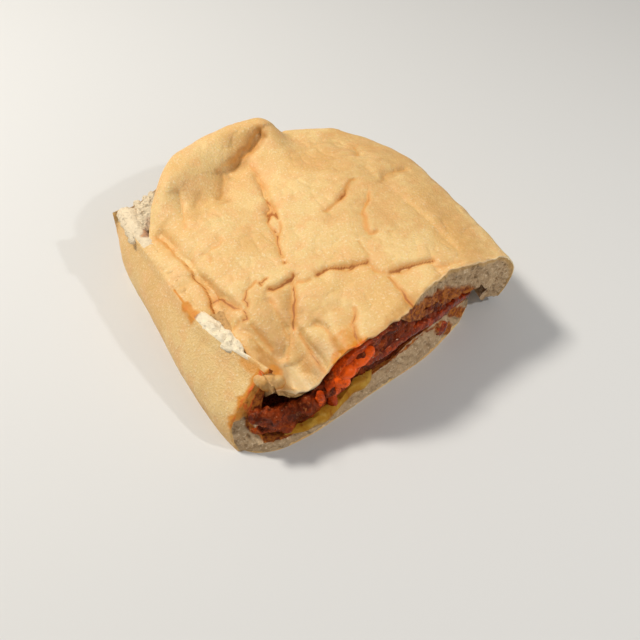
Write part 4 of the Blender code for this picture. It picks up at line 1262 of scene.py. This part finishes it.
def crumb_group(grain):
    """Torn crumb: its colour and height from how stained, lit and like rind it is. Its own grey and cream are
    darkened as painted shade and made lighter as painted light where lit, with painted highlights on specks
    and painted shade in pores.
    """
    shares = dict.fromkeys(("Stain", "Pale", "Rind"), 0.0)
    outputs = {"Color": "NodeSocketColor", "Height": "NodeSocketFloat"}
    tree, given, out = new_group("torn crumb", ["Place"], shares, outputs)
    place = given["Place"]
    fine = use_group(tree, grain, Place=place, Size=0.9, Specks=0.55)
    pores = reach(tree, noise(tree, place, 1.2, 3.0, 0.6), 0.46, 0.34)
    deep = times(tree, pores, reach(tree, noise(tree, place, 2.4), 0.35, 0.6))
    ragged = reach(tree, noise(tree, place, 1.6, 3.0, 0.6), 0.35, 0.65)
    colour = blend(tree, reach(tree, noise(tree, place, 4.0, 4.0, 0.6), 0.3, 0.7), CRUMB_GREY, CRUMB_CREAM)
    colour = tinted(tree, colour, [
        # Painted highlight on the grain's highest specks
        (times(tree, fine["Speck"], 0.75), CRUMB_SPECK),
        # Painted shade in the pores
        (deep, CRUMB_PORE),
        # Painted light where the crumb lies lit
        (times(tree, given["Pale"], 0.86), CRUMB_PALE),
        (times(tree, given["Rind"], 0.9), CRUMB_RIND),
        (reach(tree, given["Stain"], 0.05, 0.9), blend(tree, ragged, SOAK_BROWN, SOAK_ORANGE)),
    ])
    height = maths(tree, "SUBTRACT", fine["Height"], times(tree, deep, 0.7))
    tree.links.new(colour, out["Color"])
    tree.links.new(height, out["Height"])
    return tree


def crust_look(tree, group):
    given = {name: painted(tree, name.lower()) for name in ("Fold", "Stain", "Brown", "Wet", "Edge")}
    return use_group(tree, group, Place=place_in_mm(tree), **given)


def crust_material(group):
    material, tree, shader = new_material("golden crust")
    look = crust_look(tree, group)
    wet = maths(tree, "MAXIMUM", painted(tree, "wet"), painted(tree, "stain"))
    rough = maths(tree, "SUBTRACT", 0.56, times(tree, wet, 0.24))
    wire(tree, shader, Base_Color=look["Color"], Roughness=rough, Normal=bump(tree, look["Height"], 0.34))
    wire(tree, shader, Specular_IOR_Level=0.42, Subsurface_Weight=0.06, Subsurface_Scale=0.002)
    return material


def crumb_material(group):
    material, tree, shader = new_material("torn crumb")
    given = {name: painted(tree, name.lower()) for name in ("Stain", "Pale", "Rind")}
    look = use_group(tree, group, Place=place_in_mm(tree), **given)
    rough = maths(tree, "SUBTRACT", 0.9, times(tree, given["Stain"], 0.5))
    wire(tree, shader, Base_Color=look["Color"], Roughness=rough, Normal=bump(tree, look["Height"], 0.8))
    wire(tree, shader, Specular_IOR_Level=0.3)
    return material


def bottom_bread_material(crust, crumb):
    """Crust outside and crumb inside and at the cut, by how much crust is painted there."""
    material, tree, shader = new_material("bottom bread")
    place = place_in_mm(tree)
    outside = crust_look(tree, crust)
    # The crumb inside, with painted light where it is given
    inside = use_group(tree, crumb, Place=place, Stain=painted(tree, "stain"), Pale=painted(tree, "pale"))
    ragged = times(tree, maths(tree, "SUBTRACT", noise(tree, place, 1.6, 3.0), 0.5), 0.7)
    share = reach(tree, maths(tree, "ADD", painted(tree, "crust"), ragged), 0.4, 0.6)
    colour = blend(tree, share, inside["Color"], outside["Color"])
    rough = maths(tree, "SUBTRACT", 0.9, times(tree, share, 0.34))
    height = made(tree, "ShaderNodeMix", {"Factor": share, "A": inside["Height"], "B": outside["Height"]})
    normal = bump(tree, height.outputs["Result"], 0.4)
    wire(tree, shader, Base_Color=colour, Roughness=rough, Normal=normal, Specular_IOR_Level=0.4)
    return material


def wet_material(name, grain, tones, roughness, size, bumpy=0.5, shine=0.13):
    """Sauced food: a dark, a middle and a bright tone by what is painted and by its own patches, and a
    painted highlight tone on the highest specks of its grain.
    """
    material, tree, shader = new_material(name)
    place = place_in_mm(tree)
    patches = maths(tree, "SUBTRACT", noise(tree, place, size, 3.0, 0.6), 0.5)
    finer = maths(tree, "SUBTRACT", noise(tree, place, size * 0.36, 3.0, 0.6), 0.5)
    both = maths(tree, "ADD", times(tree, patches, 1.2), finer)
    tone = maths(tree, "ADD", painted(tree, "tone"), both)
    colour = blend(tree, reach(tree, tone, 0.1, 0.5), tones[0], tones[1])
    colour = blend(tree, reach(tree, tone, 0.5, 1.0), colour, tones[2])
    fine = use_group(tree, grain, Place=place, Size=1.3, Specks=0.6)
    # Painted highlight: the brightest tone on the grain's highest specks
    colour = blend(tree, times(tree, fine["Speck"], 0.25), colour, tones[3])
    wire(tree, shader, Base_Color=colour, Roughness=roughness, Normal=bump(tree, fine["Height"], bumpy))
    wire(tree, shader, Specular_IOR_Level=shine, Specular_Tint=WET_TINT)
    return material


def add_top_bread(crust, crumb):
    """A thin wrinkled crust over a body of crumb that shows at the cut."""
    skin, places, (_, t, side) = closed_between(
        "top_crust", crust_face(0.0), crust_face(SKIN), CRUST_CELLS, 4, 2, crust, rounds=1
    )
    # The fold tint: orange crease colour and painted shade
    fold = fold_relief(places[:, 0], places[:, 1])[1]
    for _ in range(FOLD_ROUNDS):
        soften(skin.data, fold > FOLD_SOFTENED)
    # Painted highlight along the crust's torn edge at the cut, and half as much over the band just behind it
    torn = np.maximum((t < ON_EDGE) * ramp(side, 0.95, 0.6), 0.5 * ramp(t, 0.008, 0.002))
    # The browner patches include painted shade on dents, steps and the right flank
    patches = {"stain": TOP_STAINS, "brown": TOP_BROWN, "wet": TOP_WET}
    paint(skin, edge=torn, fold=fold, **{name: patch_share(kind, places) for name, kind in patches.items()})
    set_on(skin, "top_bread")
    body, places, (s, _, side) = closed_between(
        "top_crumb", crumb_core, soaked_inner, CRUMB_CELLS, 2, CRUMB_LAYERS, crumb, top_cut
    )
    under = through(SOAKED_EDGE, places[:, 0]) + heights(places, SOAKED_RAGGED) - places[:, 2]
    thin = ramp(places[:, 0], 12.0, 2.0)
    rind = np.maximum(np.maximum(ramp(side, 0.84, 0.97), thin), ramp(s, 0.06, 0.03))
    paint(body, stain=ramp(under, -2.2, 2.2) * (1.0 - 0.75 * thin), rind=rind, pale=0.0)
    set_on(body, "top_bread")


def add_pouch_end(crust):
    """The crust curls down to the wall at the left of the cut."""
    piece, places, _ = drops_piece(
        "pouch_end", POUCH_END, crust, rough=0.12, grain=0.4, rounds=8, relief=0.08
    )
    stain = 0.6 * ramp(places[:, 2], 26.0, 21.5)
    paint(piece, brown=0.75 + heights(places, POUCH_BROWN), stain=stain, fold=0.0, wet=0.0, edge=0.0)
    set_on(piece, "top_bread")


def tray_outer(s, t):
    place = bottom_outer(s, t)
    small = heights(place, TRAY_SKIN) * ramp(place[:, 2], 0.3, 4.0)
    return place + small[:, None] * normals(bottom_outer, s, t)


def tray_inner(s, t):
    """Crumb side of the bottom bread: thinner at the cut's left end, with a raised lip along the cut."""
    place = bottom_inner(s, t)
    x = place[:, 0].copy()
    wall = np.clip(1.0 - s / WALL_SHARE, 0.0, 1.0)
    place[:, 0] -= SLAB_LEFT_FILL * ramp(t, 0.3, 0.0) * ramp(x, *SLAB_LEFT_X) * (1.0 - wall**3)
    place[:, 2] += through(SLAB_LIP, x) * ramp(t, 0.06, 0.0)
    return place


def torn_tray(places, s, t, side):
    """Tears the cut and the rim of the bottom bread, and swells its rim up to the top bread."""
    move = torn_cut(0.9, 0.55)(places, s, t, side)
    on_rim = (s < ON_EDGE) * np.sin(np.pi * np.clip(side, 0.0, 1.0))
    torn = through(RIM_CRUMB_Y, places[:, 1])
    move[:, 2] += on_rim * (RIM_SWELL + torn * heights(places, RIM_TORN))
    return move


def add_bottom_bread(material):
    """Crust on the wall and base, crumb at the cut and inside, with stains from the sauce."""
    body, places, (s, t, side) = closed_between(
        "bottom_tray", tray_outer, tray_inner, WALL_CELLS, 2, CRUMB_LAYERS, material, torn_tray
    )
    on_cut, on_rim = t < ON_EDGE, (s < ON_EDGE) & (t > ON_EDGE)
    folded = on_rim * (1.0 - through(RIM_CRUMB_Y, places[:, 1])) * ramp(side, 0.05, 0.2)
    skinned = on_cut * ramp(side, 0.3, 0.5) * ramp(s, 0.15, 0.11)
    wall = (s < WALL_SHARE) * (side > 0.92)
    stains = (
        patch_share(WALL_STAINS, places, (1, 2)) * wall,
        patch_share(RIM_STAINS, places) * (s < 0.05),
        patch_share(CUT_STAINS, places, (0, 2)) * (t < 0.01) * (side < 0.95),
        (side < 0.02) * (s > 0.02) * ramp(t, 0.3, 0.1),
        on_cut * ramp(s, 0.16, 0.11) * ramp(side, 1.0, 0.7) * ramp(side, 0.55, 0.45),
        0.5 * skinned,
    )
    paint(
        body,
        crust=np.maximum(np.maximum(folded, skinned), ramp(side, 0.90, 0.97)),
        stain=np.max(stains, axis=0),
        brown=patch_share(WALL_BROWN, places, (1, 2)) * wall,
        fold=0.0,
        edge=0.0,
        wet=0.0,
        # Painted light: the crumb of the rim gets a lit tone, a little less towards the far end
        pale=on_rim * (1.0 - 0.3 * ramp(places[:, 1], 5.0, 15.0)),
    )
    set_on(body, "bottom_bread")


def chunk_list():
    """Chunks of meat along the cut, larger and darker above, smaller and redder below."""
    chunks = []
    for number in range(MEAT_CHUNKS):
        cell = np.array([[number, 3, 5]])
        a, b, c, d = (scatter(cell, seed)[0] for seed in (61, 62, 63, 64))
        x = CHUNK_START_X + CHUNK_SPAN * (number + a) / MEAT_CHUNKS
        low, high = float(through(MEAT_FOOT, x)), float(through(MEAT_TOP, x))
        size = 1.5 + 2.2 * c * c
        z = min(low + (high - low) * b, float(through(CUT_HEIGHT, x)) - 2.4 - size)
        tone = 0.10 + 0.45 * d * d + 0.25 * (1.0 - b)
        depth = 3.0 + 1.3 * scatter(cell, 65)[0] + 1.6 * float(ramp(x, 8.0, 16.0))
        chunks.append((at_cut(x, depth, z), (size * 1.2, size, size), tone))
    return chunks


def add_meat(grain):
    meat = wet_material("sauced meat", grain, MEAT_TONES, roughness=0.14, size=4.0, bumpy=0.8, shine=0.22)
    mass = closed_between("meat_mass", meat_upper, meat_lower, FILLING_CELLS, 2, 16, meat, torn_cut())[0]
    paint(mass, tone=0.2)
    set_on(mass, "meat_filling")
    chunks, _, tone = drops_piece(
        "meat_chunks", chunk_list(), meat, rough=0.3, grain=0.4, rounds=4, relief=0.36
    )
    paint(chunks, tone=tone)
    set_on(chunks, "meat_filling")


def heaped_cheese(s, t):
    place = cheese_face(CHEESE_THICKNESS)(s, t)
    front = ramp(t, 0.10, 0.0)
    place[:, 2] += (through(CHEESE_HEAP, place[:, 0]) + heights(place, CHEESE_TOP)) * front
    place[:, 1] -= through(CHEESE_PUSH, place[:, 0]) * front
    return place


def cheese_foot(s, t):
    place = cheese_face(0.0)(s, t)
    place[:, 1] -= (through(CHEESE_PUSH, place[:, 0]) + heights(place, CHEESE_FRONT)) * ramp(t, 0.10, 0.0)
    place[:, 2] -= 0.8 * ramp(t, 0.10, 0.0)
    return place


def rounded(places, s, t, side):
    """Rounds the front of a layer."""
    move = np.zeros_like(places)
    bulge = 1.1 * np.sin(np.pi * np.clip(side, 0.0, 1.0)) * (1.0 + heights(places, LAYER_FRONT))
    move[:, 1] = -bulge * (t < ON_EDGE)
    return move


def rounded_back(places, s, t, side):
    """Rounds the front of the sauce, and holds it back where soaked crumb hangs before it."""
    move = rounded(places, s, t, side) * ramp(places[:, 0], 10.0, 4.0)[:, None]
    move[:, 1] += 5.0 * ramp(t, 0.12, 0.0) * ramp(places[:, 0], 4.0, 12.0)
    return move


def add_cheese(grain):
    cheese = wet_material(
        "melted cheese", grain, CHEESE_TONES, roughness=0.36, size=6.0, bumpy=0.25, shine=0.13
    )
    sheet, places, _ = closed_between(
        "cheese_sheet", heaped_cheese, cheese_foot, FILLING_CELLS, 2, 8, cheese, rounded
    )
    paint(sheet, tone=0.55 + heights(places, CHEESE_TONE))
    set_on(sheet, "melted_cheese")


SAUCE_DROPS = [
    (at_cut(-20.8, 0.4, 20.5), (3.3, 2.9, 3.8), 0.95),
    (at_cut(-18.4, 0.0, 24.4), (3.0, 2.6, 2.6), 1.0),
    (at_cut(-13.6, 0.0, 25.8), (4.2, 2.8, 2.5), 1.0),
    (at_cut(-9.4, -0.3, 27.8), (2.5, 2.3, 1.9), 0.9),
    (at_cut(-23.0, 1.4, 16.0), (2.0, 2.2, 3.2), 0.7),
    (at_cut(-24.2, 1.2, 10.5), (1.9, 2.0, 4.0), 0.45),
    (at_cut(-21.8, 1.0, 7.6), (1.4, 1.4, 2.2), 0.6),
    (at_cut(-15.0, 1.8, 20.5), (3.4, 2.4, 2.6), 0.5),
    (at_cut(-29.5, 1.6, 16.0), (2.0, 2.0, 4.4), 0.6),
    (at_cut(30.0, 0.7, 9.0), (3.2, 1.3, 4.0), 0.3),
]


def strip_drops():
    """Drops that run together in a smooth strip of sauce under the meat."""
    drops = []
    for number in range(STRIP_DROPS):
        x = STRIP_START_X + STRIP_LENGTH * number / (STRIP_DROPS - 1)
        a, b = (float(scatter(np.array([[number, 2, 7]]), seed)[0]) for seed in (75, 76))
        z = float(through(SAUCE_STRIP, x)) + 0.8 * (a - 0.5)
        drops.append((at_cut(x, 2.0, z), (2.8, 1.9, 1.8 + 0.7 * b), 0.14 + 0.16 * b))
    return drops


def add_sauce(grain):
    """A layer of sauce under the top bread, the lump that pushes out of it and a smooth strip."""
    sauce = wet_material("tomato sauce", grain, SAUCE_TONES, roughness=0.07, size=3.0, bumpy=0.3, shine=0.45)
    layer, places, _ = closed_between(
        "sauce_layer", sauce_face(True), sauce_face(False), FILLING_CELLS, 2, 8, sauce, rounded_back
    )
    paint(layer, tone=0.25 + 0.5 * mound(places[:, 0], places[:, 1], LUMP_CENTRE, LUMP_RADII))
    set_on(layer, "tomato_sauce")
    lump, _, tone = drops_piece("sauce_drops", SAUCE_DROPS, sauce, rough=0.2, grain=0.4, rounds=9, relief=0.1)
    paint(lump, tone=tone)
    set_on(lump, "tomato_sauce")
    strip, _, tone = drops_piece(
        "sauce_strip", strip_drops(), sauce, rough=0.16, grain=0.4, rounds=6, relief=0.07
    )
    paint(strip, tone=tone)
    set_on(strip, "tomato_sauce")


def add_torn_crumb(material):
    """Torn crumb that stands out on the rim of the wall, and in the far left corner."""
    drops = []
    for number, ((x, y), width) in enumerate(RIM_CRUMB + CORNER_CRUMB):
        low = CORNER_DROP * float(ramp(x, -59.0, -55.0) * ramp(y, 24.0, 30.0))
        top = float(seam_height(np.array(x), np.array(y))) + 0.2 - low
        for step in range(TORN_STEPS):
            cell = np.array([[number, step, 9]])
            shift = [2.0 * scatter(cell, seed)[0] - 1.0 for seed in (66, 67, 68)]
            centre = (x + 0.6 * width * shift[0], y + 3.0 * shift[1], top - 1.0 + 0.3 * shift[2])
            drops.append((centre, (0.8 * width, 2.6, 1.3), 0.0))
    piece, places, _ = drops_piece("torn_crumb", drops, material, rough=0.2, grain=0.4, rounds=7, relief=0.3)
    # Painted light: the torn crumb on the rim gets its lit tone in full, the far corner less
    pale = 0.72 + 1.1 * ramp(places[:, 1], 10.0, 0.0)
    paint(piece, stain=patch_share(CORNER_STAINS, places), rind=0.0, pale=pale)
    set_on(piece, "bottom_bread")


def add_stage():
    floor = bpy.data.meshes.new("floor")
    mesh = bmesh.new()
    bmesh.ops.create_grid(mesh, x_segments=2, y_segments=2, size=FLOOR_SIZE)
    mesh.to_mesh(floor)
    mesh.free()
    material, tree, shader = new_material("pale floor")
    wire(tree, shader, Base_Color=FLOOR_COLOUR, Roughness=0.8)
    floor.materials.append(material)
    stage = bpy.data.objects.new("floor", floor)
    bpy.context.scene.collection.objects.link(stage)


def add_light(name, place, size, power, colour):
    light = bpy.data.lights.new(name, "AREA")
    light.size = size
    light.energy = power
    light.color = colour
    lamp = bpy.data.objects.new(name, light)
    lamp.location = place
    lamp.rotation_euler = (-Vector(place)).to_track_quat("-Z", "Y").to_euler()
    bpy.context.scene.collection.objects.link(lamp)


def add_camera_and_lights():
    camera = bpy.data.cameras.new("camera")
    camera.lens = CAMERA_LENS
    camera.sensor_width = CAMERA_SENSOR
    holder = bpy.data.objects.new("camera", camera)
    back = CAMERA_RIGHT.cross(CAMERA_UP)
    turn = Matrix((CAMERA_RIGHT, CAMERA_UP, back)).transposed().to_4x4()
    holder.matrix_world = Matrix.Translation(CAMERA_PLACE) @ turn
    bpy.context.scene.collection.objects.link(holder)
    bpy.context.scene.camera = holder
    add_light("key", *KEY_LIGHT)
    add_light("fill", *FILL_LIGHT)
    add_light("glint", *GLINT_LIGHT)
    world = bpy.data.worlds.new("studio")
    world.use_nodes = True
    backdrop = world.node_tree.nodes["Background"]
    backdrop.inputs["Color"].default_value = STUDIO_COLOUR
    backdrop.inputs["Strength"].default_value = STUDIO_STRENGTH
    bpy.context.scene.world = world
    bpy.context.scene.view_settings.view_transform = "Standard"


def build():
    grain = grain_group()
    crust, crumb = crust_group(grain), crumb_group(grain)
    torn = crumb_material(crumb)
    skin = crust_material(crust)
    add_top_bread(skin, torn)
    add_pouch_end(skin)
    add_torn_crumb(torn)
    add_bottom_bread(bottom_bread_material(crust, crumb))
    add_meat(grain)
    add_cheese(grain)
    add_sauce(grain)
    add_stage()
    add_camera_and_lights()


build()
